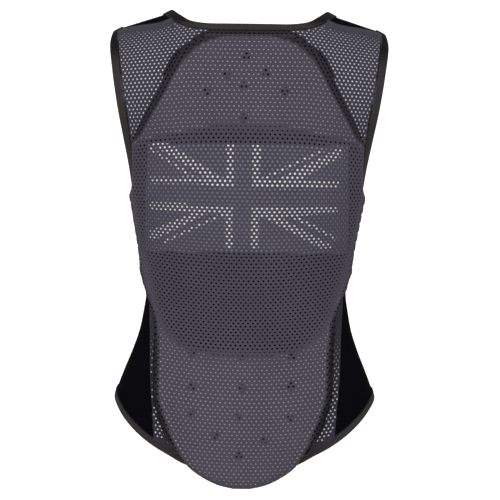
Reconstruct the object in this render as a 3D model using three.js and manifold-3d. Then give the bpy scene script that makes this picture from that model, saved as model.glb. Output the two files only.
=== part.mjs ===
// Back protector vest: a sleeveless stretch vest with a long foam pad on its back.
// Millimetres, +Z up, the back faces -Y. The origin lies midway between the two shoulder lines.
import * as THREE from "three";
import { mergeVertices } from "three/addons/utils/BufferGeometryUtils.js";
import Module from "manifold-3d";

const wasm = await Module();
wasm.setup();

// Main sizes
const bodyHeight = 640; // from the shoulder line to below the tongue
const chestHalfWidth = 156; // at the bottom of the armholes
const backDepth = 104; // from the shoulder line to the shoulder blades
const frontDepth = 116; // from the shoulder line to the chest
const roundness = 2.2; // 2 is an ellipse, more is squarer
const shoulderRoll = 110; // height in which the cloth rolls over the shoulder
const slopeReach = 240; // how far down the slope of the shoulders is felt
const shoulderRise = 30; // height of the slope line at the middle

// Cloth and foam
const liningThickness = 1;
const liningSetback = 3; // from the top edge of the mesh
const neckMargin = 5; // how far the cloth runs into the neck seam
const edgeRamp = 13; // in which the mesh leaves a seam for the pad
const meshThickness = 1;
const panelThickness = 1.6;
const panelLift = 0.5;
const layerGap = 1.6;
const centreGap = 2;
const meshGap = 3;
const restGap = 1.7; // between lining and mesh where there is no pad
const seamGap = 0.8;
const backingThickness = 1;
const padThickness = 10;
const padEdgeThickness = 3;
const padRamp = 12;
const padWrap = 0.94; // the furthest that the pad reaches, as a share of the form's half width
const backingWrap = 0.952;
const padToArm = 9; // the least distance from the armhole's seam
const backingToArm = 8;
const centreInset = 8; // the least distance of the middle zone from the pad's edge
const centreThickness = 2.4;
const centreEase = 1.3; // looseness of the mesh over the middle zone
const flagThickness = 0.8;
const meshLead = 5; // how far before the pad's edge the mesh is up on the pad
const meshDrape = 30; // how far beyond the pad the mesh comes down to the lining

// Bindings and closure
const bindingInner = -0.7;
const bindingOuter = 4;
const zipHalfWidth = 17;
const zipTeethHalfWidth = 3;
const zipTeethHeight = 1.4;

// Vents
const ventRadius = 5.5;
const ventSides = 6;
const padShift = -4; // how far the lower end of the pad sits to the left

// Levels below the shoulder line, as shares of the height, and the sizes there as shares
// of the chest half width, the back depth and the front depth.
const sections = [
  { level: 0, halfWidth: 1.32, back: 1, front: 0.82 },
  { level: 0.06, halfWidth: 1.36, back: 1, front: 0.86 },
  { level: 0.15, halfWidth: 1.3, back: 1, front: 0.92 },
  { level: 0.22, halfWidth: 1.17, back: 1.02, front: 0.96 },
  { level: 0.29, halfWidth: 1.025, back: 1.01, front: 1 },
  { level: 0.35, halfWidth: 0.96, back: 0.99, front: 1 },
  { level: 0.42, halfWidth: 0.9, back: 0.93, front: 0.96 },
  { level: 0.5, halfWidth: 0.846, back: 0.83, front: 0.9 },
  { level: 0.57, halfWidth: 0.84, back: 0.75, front: 0.84 },
  { level: 0.61, halfWidth: 0.862, back: 0.74, front: 0.83 },
  { level: 0.65, halfWidth: 0.895, back: 0.77, front: 0.83 },
  { level: 0.69, halfWidth: 0.95, back: 0.83, front: 0.84 },
  { level: 0.73, halfWidth: 1.016, back: 0.9, front: 0.84 },
  { level: 0.77, halfWidth: 1.075, back: 0.96, front: 0.84 },
  { level: 0.8, halfWidth: 1.095, back: 0.99, front: 0.83 },
  { level: 0.88, halfWidth: 1.12, back: 1.02, front: 0.8 },
  { level: 1.02, halfWidth: 1.11, back: 1.01, front: 0.78 },
];

// Height of the shoulder slope at a distance from the middle: shares of the chest half width
// and of the rise.
const slope = [
  { out: 0, height: 1 },
  { out: 0.33, height: 0.86 },
  { out: 0.5, height: 0.6 },
  { out: 0.65, height: 0.31 },
  { out: 0.74, height: 0.1 },
  { out: 0.87, height: -0.12 },
  { out: 1.03, height: -0.39 },
  { out: 1.1, height: -0.52 },
  { out: 1.3, height: -1.2 },
  { out: 1.5, height: -2 },
];

// Side seam between the mesh back and the side panel: share of the half width at each level.
const sideSeam = [
  { level: 0, share: 0.99 },
  { level: 0.35, share: 0.99 },
  { level: 0.5, share: 0.985 },
  { level: 0.57, share: 0.965 },
  { level: 0.62, share: 0.925 },
  { level: 0.65, share: 0.893 },
  { level: 0.7, share: 0.823 },
  { level: 0.74, share: 0.765 },
  { level: 0.78, share: 0.718 },
  { level: 0.84, share: 0.68 },
  { level: 0.9, share: 0.65 },
  { level: 1.02, share: 0.61 },
];
const frontSeamAngle = 124; // degrees from the middle of the back

// Outline of the pad: level as a share of the height, half width as a share of the chest's.
const padOutline = [
  { level: 0.0516, halfWidth: 0.31 },
  { level: 0.0625, halfWidth: 0.385 },
  { level: 0.081, halfWidth: 0.497 },
  { level: 0.116, halfWidth: 0.598 },
  { level: 0.1527, halfWidth: 0.68 },
  { level: 0.199, halfWidth: 0.787 },
  { level: 0.244, halfWidth: 0.88 },
  { level: 0.266, halfWidth: 0.93 },
  { level: 0.3, halfWidth: 0.95 },
  { level: 0.35, halfWidth: 0.94 },
  { level: 0.42, halfWidth: 0.88 },
  { level: 0.5, halfWidth: 0.8 },
  { level: 0.567, halfWidth: 0.752 },
  { level: 0.622, halfWidth: 0.716 },
  { level: 0.645, halfWidth: 0.708 },
  { level: 0.7, halfWidth: 0.698 },
  { level: 0.78, halfWidth: 0.696 },
  { level: 0.815, halfWidth: 0.651 },
  { level: 0.868, halfWidth: 0.565 },
  { level: 0.92, halfWidth: 0.45 },
  { level: 0.941, halfWidth: 0.31 },
  { level: 0.955, halfWidth: 0.18 },
  { level: 0.961, halfWidth: 0.07 },
];

// How far the black backing shows beyond the pad.
const backingRim = [
  { level: 0, width: 20 },
  { level: 0.08, width: 15 },
  { level: 0.12, width: 12 },
  { level: 0.17, width: 9 },
  { level: 0.24, width: 6 },
  { level: 0.3, width: 2.5 },
  { level: 0.45, width: 1.5 },
  { level: 0.55, width: 5 },
  { level: 0.7, width: 6 },
  { level: 0.8, width: 6 },
  { level: 0.9, width: 4 },
  { level: 1, width: 2 },
];

// Outline of the black middle zone.
const centreOutline = [
  { level: 0.23, halfWidth: 0.25 },
  { level: 0.238, halfWidth: 0.52 },
  { level: 0.252, halfWidth: 0.7 },
  { level: 0.275, halfWidth: 0.8 },
  { level: 0.32, halfWidth: 0.84 },
  { level: 0.42, halfWidth: 0.81 },
  { level: 0.5, halfWidth: 0.72 },
  { level: 0.56, halfWidth: 0.66 },
  { level: 0.62, halfWidth: 0.61 },
  { level: 0.655, halfWidth: 0.54 },
  { level: 0.675, halfWidth: 0.45 },
  { level: 0.685, halfWidth: 0.35 },
  { level: 0.69, halfWidth: 0.22 },
];

// Outline of the panel that carries the flag.
const flagTop = 0.266;
const flagBottom = 0.476;
const flagHalfWidth = 0.722;

// Neck opening: the free edge and the sewn edge of its binding. Distances out are shares of
// the chest half width, heights over the origin are shares of the body height.
const neckStations = [
  { side: 1, edgeOut: 0.083, edgeHeight: -0.1219, sewnOut: 0.083, sewnHeight: -0.1406 },
  { side: 1, edgeOut: 0.3, edgeHeight: -0.1, sewnOut: 0.34, sewnHeight: -0.1172 },
  { side: 1, edgeOut: 0.5, edgeHeight: -0.0563, sewnOut: 0.57, sewnHeight: -0.0672 },
  { side: 1, edgeOut: 0.61, edgeHeight: -0.0094, sewnOut: 0.69, sewnHeight: -0.0172 },
  { side: 0, edgeOut: 0.655, edgeHeight: 0, sewnOut: 0.74, sewnHeight: 0 },
  { side: -1, edgeOut: 0.58, edgeHeight: 0.0008, sewnOut: 0.64, sewnHeight: -0.0133 },
  { side: -1, edgeOut: 0.49, edgeHeight: -0.0125, sewnOut: 0.52, sewnHeight: -0.0266 },
  { side: -1, edgeOut: 0.36, edgeHeight: -0.018, sewnOut: 0.37, sewnHeight: -0.0328 },
  { side: -1, edgeOut: 0.18, edgeHeight: -0.0187, sewnOut: 0.18, sewnHeight: -0.0344 },
  { side: -1, edgeOut: 0, edgeHeight: -0.0187, sewnOut: 0, sewnHeight: -0.0344 },
];

// Armhole, from the shoulder down the back, under the arm and up the front.
const armStations = [
  { side: 0, edgeOut: 1.155, edgeHeight: 0, sewnOut: 1.075, sewnHeight: 0 },
  { side: -1, edgeOut: 1.175, edgeHeight: -0.0594, sewnOut: 1.095, sewnHeight: -0.0594 },
  { side: -1, edgeOut: 1.15, edgeHeight: -0.1094, sewnOut: 1.068, sewnHeight: -0.1125 },
  { side: -1, edgeOut: 1.1, edgeHeight: -0.1844, sewnOut: 1.015, sewnHeight: -0.1891 },
  { side: -1, edgeOut: 1.046, edgeHeight: -0.2469, sewnOut: 0.975, sewnHeight: -0.2562 },
  { side: -1, edgeOut: 1.002, edgeHeight: -0.2969, sewnOut: 0.95, sewnHeight: -0.3094 },
  { side: -1, edgeOut: 0.98, edgeHeight: -0.3328, sewnOut: 0.95, sewnHeight: -0.35 },
  { side: 1, edgeOut: 0.98, edgeHeight: -0.3391, sewnOut: 0.95, sewnHeight: -0.3578 },
  { side: 1, edgeOut: 0.98, edgeHeight: -0.2969, sewnOut: 0.92, sewnHeight: -0.3109 },
  { side: 1, edgeOut: 0.985, edgeHeight: -0.2344, sewnOut: 0.915, sewnHeight: -0.2391 },
  { side: 1, edgeOut: 1.03, edgeHeight: -0.1641, sewnOut: 0.95, sewnHeight: -0.1656 },
  { side: 1, edgeOut: 1.1, edgeHeight: -0.0969, sewnOut: 1.02, sewnHeight: -0.0969 },
  { side: 1, edgeOut: 1.14, edgeHeight: -0.0531, sewnOut: 1.06, sewnHeight: -0.0531 },
];

// Hem: angle from the middle of the back, height of the free edge as a share of the body height.
const hemStations = [
  { angle: 0, height: -0.9313 },
  { angle: 12, height: -0.9281 },
  { angle: 22.3, height: -0.918 },
  { angle: 31.2, height: -0.8984 },
  { angle: 38.7, height: -0.8828 },
  { angle: 46.7, height: -0.8648 },
  { angle: 59.4, height: -0.8352 },
  { angle: 73.7, height: -0.8047 },
  { angle: 88, height: -0.7867 },
  { angle: 100, height: -0.7797 },
  { angle: 125, height: -0.7781 },
  { angle: 150, height: -0.7812 },
  { angle: 180, height: -0.7844 },
];
const hemWidth = 11.5;
const hemTuck = 2.2; // how far the hem draws in behind the tongue
const tongueHalfWidth = 80;
const tongueMargin = 3;

// Shoulder seam behind the shoulder line: distance over the roll, inner and outer end.
const wedgeAtNeck = 52;
const wedgeAtArm = 26;

// Upper and lower ends of the panels before they are cut to the openings, as shares of the height
const liningFoot = 0.969;
const sidePanelTop = 0.27;
const sidePanelFoot = 0.89;
const frontFoot = 0.828;
const zipTop = 0.094;
const plugReach = 16; // how far an opening's cut reaches to both sides of the cloth
const hemPlugReach = 9;

// Ventilation holes: distance out to the right as a share of the chest half width, height as a
// share of the body height.
const vents = [
  { out: -0.026, height: -0.0878 },
  { out: -0.191, height: -0.1248 },
  { out: 0.146, height: -0.1197 },
  { out: -0.034, height: -0.148 },
  { out: -0.351, height: -0.16 },
  { out: 0.306, height: -0.1578 },
  { out: -0.028, height: -0.2133 },
  { out: -0.435, height: -0.6905 },
  { out: -0.026, height: -0.6952 },
  { out: 0.391, height: -0.6939 },
  { out: -0.439, height: -0.7575 },
  { out: -0.033, height: -0.7602 },
  { out: 0.389, height: -0.7548 },
  { out: -0.444, height: -0.8144 },
  { out: -0.044, height: -0.8192 },
  { out: 0.383, height: -0.8211 },
  { out: -0.233, height: -0.8572 },
  { out: 0.167, height: -0.8631 },
  { out: -0.04, height: -0.8972 },
];

// Reads a column of a table at a level, with smooth bends.
function read(table, keyColumn, valueColumn, key) {
  const last = table.length - 1;
  if (key <= table[0][keyColumn]) return table[0][valueColumn];
  if (key >= table[last][keyColumn]) return table[last][valueColumn];
  let i = 0;
  while (key > table[i + 1][keyColumn]) i += 1;
  const span = table[i + 1][keyColumn] - table[i][keyColumn];
  const t = (key - table[i][keyColumn]) / span;
  const rise = (j) => {
    const a = table[Math.max(j - 1, 0)];
    const b = table[Math.min(j + 1, last)];
    return (b[valueColumn] - a[valueColumn]) / (b[keyColumn] - a[keyColumn]);
  };
  const p = table[i][valueColumn];
  const q = table[i + 1][valueColumn];
  const h = t * t * (3 - 2 * t);
  const start = span * rise(i) * t * (1 - t) * (1 - t);
  const end = span * rise(i + 1) * t * t * (1 - t);
  return p + (q - p) * h + start - end;
}

const mix = (a, b, t) => a + (b - a) * t;
const clamp = (x, low, high) => Math.min(Math.max(x, low), high);
const radians = THREE.MathUtils.degToRad;

function smooth(t) {
  const x = clamp(t, 0, 1);
  return x * x * (3 - 2 * x);
}

// The wearer's form. It is read by an angle from the middle of the back (radians, positive to
// the right) and by a distance down from the shoulder line, over the roll of the shoulder.
const rollLength = (shoulderRoll * Math.PI) / 2;

function levelAt(distance) {
  if (distance < rollLength) return shoulderRoll * (1 - Math.cos(distance / shoulderRoll));
  return shoulderRoll + distance - rollLength;
}

function distanceAt(level) {
  if (level < shoulderRoll) return shoulderRoll * Math.acos(1 - Math.max(level, 0) / shoulderRoll);
  return rollLength + level - shoulderRoll;
}

function slopeHeight(x) {
  return shoulderRise * read(slope, "out", "height", Math.abs(x) / chestHalfWidth);
}

function halfWidthAt(level) {
  return chestHalfWidth * read(sections, "level", "halfWidth", level / bodyHeight);
}

function levelOf(x, z) {
  const rise = slopeHeight(x);
  const level = (rise - z) / (1 + rise / slopeReach);
  return level < slopeReach ? Math.max(level, 0) : -z;
}

function form(angle, distance) {
  const level = levelAt(distance);
  const share = level / bodyHeight;
  const onBack = Math.cos(angle) > 0;
  const depth = onBack
    ? backDepth * read(sections, "level", "back", share)
    : frontDepth * read(sections, "level", "front", share);
  const roll = distance < rollLength ? Math.sin(distance / shoulderRoll) : 1;
  const power = 2 / roundness;
  const x = halfWidthAt(level) * Math.sign(Math.sin(angle)) * Math.abs(Math.sin(angle)) ** power;
  const y = -Math.sign(Math.cos(angle)) * depth * roll * Math.abs(Math.cos(angle)) ** power;
  const z = slopeHeight(x) * Math.max(0, 1 - level / slopeReach) - level;
  return new THREE.Vector3(x, y, z);
}

// The same form, where a distance under zero goes over the shoulder to the other side.
function formOver(angle, distance) {
  if (distance >= 0) return form(angle, distance);
  return form(Math.sign(angle) * (Math.PI - Math.abs(angle)), -distance);
}

function normalOver(angle, distance) {
  const step = 0.004;
  const across = formOver(angle + step, distance).sub(formOver(angle - step, distance));
  const down = formOver(angle, distance + 0.5).sub(formOver(angle, distance - 0.5));
  return down.cross(across).normalize();
}

function lifted(angle, distance, lift) {
  return formOver(angle, distance).addScaledVector(normalOver(angle, distance), lift);
}

// The angle and distance of the point that is seen at x and z, on the back or the front.
function placeOf(x, z, side) {
  const level = levelOf(x, z);
  const share = clamp(Math.abs(x) / halfWidthAt(level), 0, 1);
  const angle = Math.asin(share ** (roundness / 2));
  const turned = side > 0 ? Math.PI - angle : angle;
  return { angle: Math.sign(x || 1) * turned, distance: distanceAt(level) };
}

// Stops from 0 to 1: even ones, and finer ones near both ends.
function stops(count) {
  return Array.from({ length: count + 1 }, (_, k) => k / count);
}

function edgedStops(count, first, second, ease = 1) {
  const middle = stops(count - 4).map((t) => mix(second, 1 - second, t ** ease));
  return [0, first, ...middle, 1 - first, 1];
}

// A closed shell over a grid. place(u, v) gives angle, distance, inner and outer lift.
function shell(across, down, place) {
  const points = [];
  const faces = [];
  const columns = across.length - 1;
  const rows = down.length - 1;
  const width = columns + 1;
  const count = width * (rows + 1);
  for (const layer of ["inner", "outer"]) {
    for (const v of down) {
      for (const u of across) {
        const p = place(u, v);
        points.push(lifted(p.angle, p.distance, p[layer]));
      }
    }
  }
  const at = (i, j) => j * width + i;
  for (let j = 0; j < rows; j += 1) {
    for (let i = 0; i < columns; i += 1) {
      const [a, b, c, d] = [at(i, j), at(i + 1, j), at(i + 1, j + 1), at(i, j + 1)];
      faces.push(a, b, c, a, c, d);
      faces.push(count + a, count + c, count + b, count + a, count + d, count + c);
    }
  }
  const rim = [];
  for (let i = 0; i < columns; i += 1) rim.push(at(i, 0));
  for (let j = 0; j < rows; j += 1) rim.push(at(columns, j));
  for (let i = columns; i > 0; i -= 1) rim.push(at(i, rows));
  for (let j = rows; j > 0; j -= 1) rim.push(at(0, j));
  rim.forEach((a, k) => {
    const b = rim[(k + 1) % rim.length];
    faces.push(b, a, count + a, b, count + a, count + b);
  });
  return solidFrom(points, faces);
}

// Six times the volume inside the faces, under zero where they look inwards.
function signedVolume(points, faces) {
  let sum = 0;
  for (let i = 0; i < faces.length; i += 3) {
    const [a, b, c] = [points[faces[i]], points[faces[i + 1]], points[faces[i + 2]]];
    sum += a.dot(b.clone().cross(c));
  }
  return sum;
}

function solidFrom(points, faces) {
  const geometry = new THREE.BufferGeometry().setFromPoints(points);
  geometry.setIndex(signedVolume(points, faces) < 0 ? [...faces].reverse() : faces);
  return solidOf(geometry);
}

function solidOf(geometry) {
  geometry.deleteAttribute("normal");
  geometry.deleteAttribute("uv");
  const merged = mergeVertices(geometry, 1e-3);
  return new wasm.Manifold(
    new wasm.Mesh({
      numProp: 3,
      vertProperties: new Float32Array(merged.attributes.position.array),
      triVerts: new Uint32Array(merged.index.array),
    }),
  );
}

// Cuts the tools away and keeps the largest body that is left.
function trimmed(solid, tools) {
  const cut = tools.reduce((left, tool) => left.subtract(tool), solid);
  return cut.decompose().reduce((best, body) => (body.volume() > best.volume() ? body : best));
}

function mirrored(solid) {
  return solid.mirror([1, 0, 0]);
}

// A smooth line through stations that are given as points.
function sampled(points, closed, count) {
  const curve = new THREE.CatmullRomCurve3(points, closed, "centripetal");
  const stops = closed ? count : count + 1;
  return Array.from({ length: stops }, (_, k) => curve.getPoint(k / count));
}

// A folded band between a free edge and a sewn edge.
const bandProfile = [
  { across: 0, lift: 0.5 },
  { across: 0.16, lift: 1 },
  { across: 0.88, lift: 1 },
  { across: 0.97, lift: 0.55 },
  { across: 0.88, lift: 0 },
  { across: 0.16, lift: 0 },
];

function band(line, closed) {
  const points = [];
  const faces = [];
  const sides = bandProfile.length;
  for (const stop of line) {
    for (const p of bandProfile) {
      const lift = mix(stop.inner, stop.outer, p.lift);
      const point = stop.edge.clone().lerp(stop.sewn, p.across);
      points.push(point.addScaledVector(stop.normal, lift));
    }
  }
  const last = closed ? line.length : line.length - 1;
  for (let k = 0; k < last; k += 1) {
    const next = (k + 1) % line.length;
    for (let i = 0; i < sides; i += 1) {
      const j = (i + 1) % sides;
      const [a, b] = [k * sides + i, k * sides + j];
      const [c, d] = [next * sides + j, next * sides + i];
      faces.push(a, b, c, a, c, d);
    }
  }
  if (!closed) {
    for (let i = 1; i < sides - 1; i += 1) {
      const end = (line.length - 1) * sides;
      faces.push(0, i + 1, i, end, end + i, end + i + 1);
    }
  }
  return solidFrom(points, faces);
}

// What lies inside an opening, up to its sewn edge and a seam's gap beyond it.
function plug(line, innerTip, outerTip, reach) {
  const points = [];
  const faces = [];
  for (const stop of line) {
    const out = stop.sewn.clone().sub(stop.edge).normalize();
    const wall = stop.sewn.clone().addScaledVector(out, seamGap);
    points.push(wall.clone().addScaledVector(stop.normal, -reach));
    points.push(wall.clone().addScaledVector(stop.normal, reach));
  }
  points.push(innerTip, outerTip);
  const tip = 2 * line.length;
  line.forEach((_, k) => {
    const next = (k + 1) % line.length;
    const [a, b, c, d] = [2 * k, 2 * k + 1, 2 * next + 1, 2 * next];
    faces.push(a, c, b, a, d, c, tip, d, a, tip + 1, b, c);
  });
  return solidFrom(points, faces);
}

// Stations of a binding on the form
function stationLine(stations, closed, count) {
  const edges = [];
  const sewn = [];
  const normals = [];
  for (const s of stations) {
    const edge = stationPlace(s, s.edgeOut, s.edgeHeight);
    const seam = stationPlace(s, s.sewnOut, s.sewnHeight);
    edges.push(formOver(edge.angle, edge.distance));
    sewn.push(formOver(seam.angle, seam.distance));
    normals.push(normalOver(seam.angle, seam.distance));
  }
  const normalLine = sampled(normals, closed, count);
  const sewnLine = sampled(sewn, closed, count);
  return sampled(edges, closed, count).map((edge, k) => ({
    edge,
    sewn: sewnLine[k],
    normal: normalLine[k].normalize(),
    inner: bindingInner,
    outer: bindingOuter,
  }));
}

function stationPlace(station, out, height) {
  const x = out * chestHalfWidth;
  if (station.side === 0) return placeOf(x, slopeHeight(x), -1);
  return placeOf(x, height * bodyHeight, station.side);
}

function reflected(line) {
  const flip = (v) => new THREE.Vector3(-v.x, v.y, v.z);
  return line.map((s) => ({ ...s, edge: flip(s.edge), sewn: flip(s.sewn), normal: flip(s.normal) }));
}

function wholeLine(half) {
  return [...half, ...reflected(half).reverse().slice(1)];
}

// Neck
const neckBand = neckStations.filter((s) => s.side === -1).reverse();
const neckBandEnd = neckBand[neckBand.length - 1].sewnOut;
const neckHalf = stationLine(neckStations, false, 17);
const neckLine = wholeLine(neckHalf);
const neckPlug = plug(
  neckLine,
  new THREE.Vector3(0, 0, -0.11 * bodyHeight),
  new THREE.Vector3(0, 0.1 * backDepth, 0.25 * bodyHeight),
  plugReach,
);
const neckBinding = band(neckLine, false);

// Armholes
const armBand = armStations
  .filter((s) => s.side === -1)
  .map((s) => ({ drop: -s.sewnHeight * bodyHeight, sewnOut: s.sewnOut }));
const armFoot = armStations.filter((s) => s.side === -1).pop();
const armLine = stationLine(armStations, true, 30);
const armPlug = plug(
  armLine,
  new THREE.Vector3(0.45 * chestHalfWidth, 0, -0.17 * bodyHeight),
  new THREE.Vector3(2.1 * chestHalfWidth, 0, -0.16 * bodyHeight),
  1.5 * plugReach,
);
const armBinding = band(armLine, true);

// Half width left between the armhole seams; it opens out below them.
function armHalfWidth(level) {
  const below = Math.max(0, level + armFoot.sewnHeight * bodyHeight);
  return read(armBand, "drop", "sewnOut", level) * chestHalfWidth + below;
}

// Hem
function hemPlace(angle, raised) {
  const degrees = THREE.MathUtils.radToDeg(Math.abs(angle));
  const height = bodyHeight * read(hemStations, "angle", "height", degrees);
  return { angle, distance: distanceAt(-height - raised) };
}

// Half a width as an angle beside the middle of the front
function frontTurn(halfWidth, distance) {
  return angleOut(halfWidth, levelAt(Math.abs(distance)));
}

const hemEnd = Math.PI - frontTurn(zipHalfWidth, distanceAt(frontFoot * bodyHeight));

function hemStop(angle, tuck) {
  const edge = hemPlace(angle, 0);
  const seam = hemPlace(angle, hemWidth);
  return {
    edge: formOver(edge.angle, edge.distance),
    sewn: formOver(seam.angle, seam.distance),
    normal: normalOver(seam.angle, seam.distance),
    inner: bindingInner - tuck,
    outer: bindingOuter - tuck,
  };
}

function hemLineOf(count, tongueTuck) {
  return Array.from({ length: count + 1 }, (_, k) => {
    const angle = mix(-hemEnd, hemEnd, k / count);
    const stop = hemStop(angle, 0);
    const nearness = 1 - smooth((Math.abs(stop.edge.x) - 1.05 * tongueHalfWidth) / 24);
    return hemStop(angle, tongueTuck * nearness);
  });
}

const hemLine = hemLineOf(42, hemTuck);
const hemBinding = band(hemLine, false);
const hemPlug = plug(
  hemLine,
  new THREE.Vector3(0, 0, -0.75 * bodyHeight),
  new THREE.Vector3(0, 0, -3.75 * bodyHeight),
  hemPlugReach,
);

// Pad
const padFirst = padOutline[0].level * bodyHeight;
const padLast = padOutline[padOutline.length - 1].level * bodyHeight;

function padHalfWidth(level) {
  const within = clamp(level, padFirst, padLast);
  const width = chestHalfWidth * read(padOutline, "level", "halfWidth", within / bodyHeight);
  return Math.min(width, padWrap * halfWidthAt(within), armHalfWidth(within) - padToArm);
}

function centreHalfWidth(level) {
  const width = chestHalfWidth * read(centreOutline, "level", "halfWidth", level / bodyHeight);
  return Math.min(width, padHalfWidth(level) - centreInset);
}

function angleOut(halfWidth, level) {
  return Math.asin(clamp(halfWidth / halfWidthAt(level), 0, 1) ** (roundness / 2));
}

// The pad hangs a little to the left at its lower end.
function padTurn(level) {
  return (padShift / backDepth) * smooth((level / bodyHeight - 0.3) / 0.4);
}

// How deep a place lies inside an outline, over the form; under zero outside it.
function insetIn(place, first, last, halfWidth) {
  const level = -form(place.angle, place.distance).z;
  const within = clamp(level, first, last);
  const radius = 0.5 * (halfWidthAt(within) + backDepth);
  const side = (angleOut(halfWidth(within), within) - Math.abs(place.angle - padTurn(level))) * radius;
  return Math.min(side, distanceAt(level) - distanceAt(first), last - level);
}

function seamAngle(distance) {
  const share = read(sideSeam, "level", "share", levelAt(distance) / bodyHeight);
  return Math.asin(share ** (roundness / 2));
}

const backingBase = liningThickness + 2 * layerGap;
const padBase = backingBase + backingThickness + layerGap;

function padTop(place) {
  const full = smooth(insetIn(place, padFirst, padLast, padHalfWidth) / padRamp);
  return padBase + mix(padEdgeThickness, padThickness, full);
}

const centreFirst = centreOutline[0].level * bodyHeight;
const centreLast = centreOutline[centreOutline.length - 1].level * bodyHeight;
const centreStack = centreThickness + flagThickness + centreGap + layerGap + centreEase;

// Room between a place and the neck seam, the shoulder seam and the armhole.
function seamRoom(place) {
  const point = form(place.angle, place.distance);
  const x = Math.abs(point.x);
  const neck = x < neckBandEnd * chestHalfWidth ? neckMargin : 0;
  const top = place.distance - backTop(place.angle) - neck;
  return Math.min(top, armHalfWidth(-point.z) - x);
}

function meshBase(place) {
  const inset = insetIn(place, padFirst, padLast, padHalfWidth);
  const rest = liningThickness + restGap;
  const level = levelAt(place.distance);
  const room = (seamAngle(place.distance) - angleOut(padHalfWidth(level), level)) * backDepth;
  const drape = clamp(room - 1, 7, meshDrape);
  const over = padBase + padThickness + meshGap - rest;
  const extra = smooth((insetIn(place, centreFirst, centreLast, centreHalfWidth) + 16) / 13);
  const lead = Math.min(meshLead, 0.4 * drape);
  const rise = smooth((inset + drape) / (drape - lead)) * smooth(seamRoom(place) / edgeRamp);
  return rest + rise * (over + extra * centreStack);
}

// A layer of the pad between two levels, its half width given by the level.
function padLayer(across, down, first, last, halfWidth, lifts) {
  return shell(across, down, (u, v) => {
    const depth = mix(first, last, v);
    const x = mix(-1, 1, u) * halfWidth(depth);
    const flat = placeOf(x, -depth, -1);
    const limit = placeOf(halfWidth(depth), -depth, -1).angle;
    const angle = mix(-limit, limit, u) + padTurn(depth);
    const place = { angle, distance: flat.distance };
    return { ...place, ...lifts(place) };
  });
}

function backingHalfWidth(level) {
  const rim = read(backingRim, "level", "width", level / bodyHeight);
  const arm = armHalfWidth(level) - backingToArm;
  return Math.min(padHalfWidth(level) + rim, backingWrap * halfWidthAt(level), arm);
}

const backing = padLayer(
  edgedStops(10, 0.045, 0.11),
  edgedStops(17, 0.006, 0.03),
  padFirst - 4,
  padLast,
  backingHalfWidth,
  () => ({ inner: backingBase, outer: backingBase + backingThickness }),
);

const padBody = padLayer(
  edgedStops(14, 0.025, 0.06),
  edgedStops(22, 0.012, 0.035),
  padFirst,
  padLast,
  padHalfWidth,
  (place) => ({ inner: padBase, outer: padTop(place) }),
);

function ventTool(out, height) {
  const tool = new THREE.CylinderGeometry(ventRadius, ventRadius, 2 * backDepth, ventSides);
  tool.translate(out, -backDepth, height);
  return solidOf(tool);
}

const ventTools = vents.map((v) => ventTool(v.out * chestHalfWidth, v.height * bodyHeight));

const centreLayer = padLayer(
  stops(12),
  edgedStops(9, 0.03, 0.08),
  centreFirst,
  centreLast,
  centreHalfWidth,
  (place) => {
    const base = padTop(place) + centreGap;
    return { inner: base, outer: base + centreThickness };
  },
);

const flagLayer = padLayer(
  stops(10),
  stops(6),
  flagTop * bodyHeight,
  flagBottom * bodyHeight,
  () => flagHalfWidth * chestHalfWidth,
  (place) => {
    const base = padTop(place) + centreGap + centreThickness + layerGap;
    return { inner: base, outer: base + flagThickness };
  },
);

function shoulderWedge(angle) {
  const x = Math.abs(form(angle, 0).x) / chestHalfWidth;
  return mix(wedgeAtNeck, wedgeAtArm, smooth((x - 0.7) / 0.45));
}

// Bottom edge of the mesh back: the tongue in the middle, the hem beside it.
function tongueHeight(x) {
  let [above, below] = [0.8 * bodyHeight, padLast];
  for (let pass = 0; pass < 20; pass += 1) {
    const middle = (above + below) / 2;
    if (padHalfWidth(middle) > Math.abs(x)) above = middle;
    else below = middle;
  }
  return -below - tongueMargin;
}

function backBottom(angle) {
  const hem = hemPlace(angle, hemWidth + seamGap);
  const x = form(angle, hem.distance).x - padShift;
  const tongue = distanceAt(-tongueHeight(x));
  return Math.abs(x) < tongueHalfWidth ? Math.max(tongue, hem.distance) : hem.distance;
}

// Top edge of the back: the shoulder seam, and in the middle a little under the neck binding.
function backTop(angle) {
  const x = Math.abs(form(angle, shoulderWedge(angle)).x);
  const seam = shoulderWedge(angle) + 1.5 * seamGap;
  if (x > neckBandEnd * chestHalfWidth) return seam;
  const height = bodyHeight * read(neckBand, "sewnOut", "sewnHeight", x / chestHalfWidth);
  return Math.max(seam, placeOf(x, height, -1).distance - neckMargin);
}

function backPlace(u, v, top, bottom) {
  const turn = mix(-1, 1, u);
  let place = { angle: turn, distance: 300 };
  for (let pass = 0; pass < 6; pass += 1) {
    const angle = turn * seamAngle(place.distance) + padTurn(levelAt(place.distance));
    const distance = mix(top(angle), bottom(angle), v);
    place = { angle, distance };
  }
  return place;
}

const meshLayer = shell(edgedStops(22, 0.035, 0.075), edgedStops(28, 0.013, 0.036, 1.25), (u, v) => {
  const place = backPlace(u, v, backTop, backBottom);
  const base = meshBase(place);
  return { ...place, inner: base, outer: base + meshThickness };
});

const liningLayer = shell(stops(10), stops(17), (u, v) => ({
  ...backPlace(u, v, (angle) => backTop(angle) + liningSetback, () => distanceAt(liningFoot * bodyHeight)),
  inner: 0,
  outer: liningThickness,
}));

// Side and front panels
const frontSeam = radians(frontSeamAngle);
const seamTurn = (1.2 * seamGap) / backDepth; // a seam's gap as an angle

function sidePlace(u, v, side) {
  const level = mix(sidePanelTop, sidePanelFoot, v) * bodyHeight;
  const distance = distanceAt(level);
  const start = side * (seamAngle(distance) + seamTurn) + padTurn(level);
  const angle = mix(start, side * (frontSeam - seamTurn), u);
  return { angle, distance, inner: panelLift, outer: panelLift + panelThickness };
}

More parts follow.
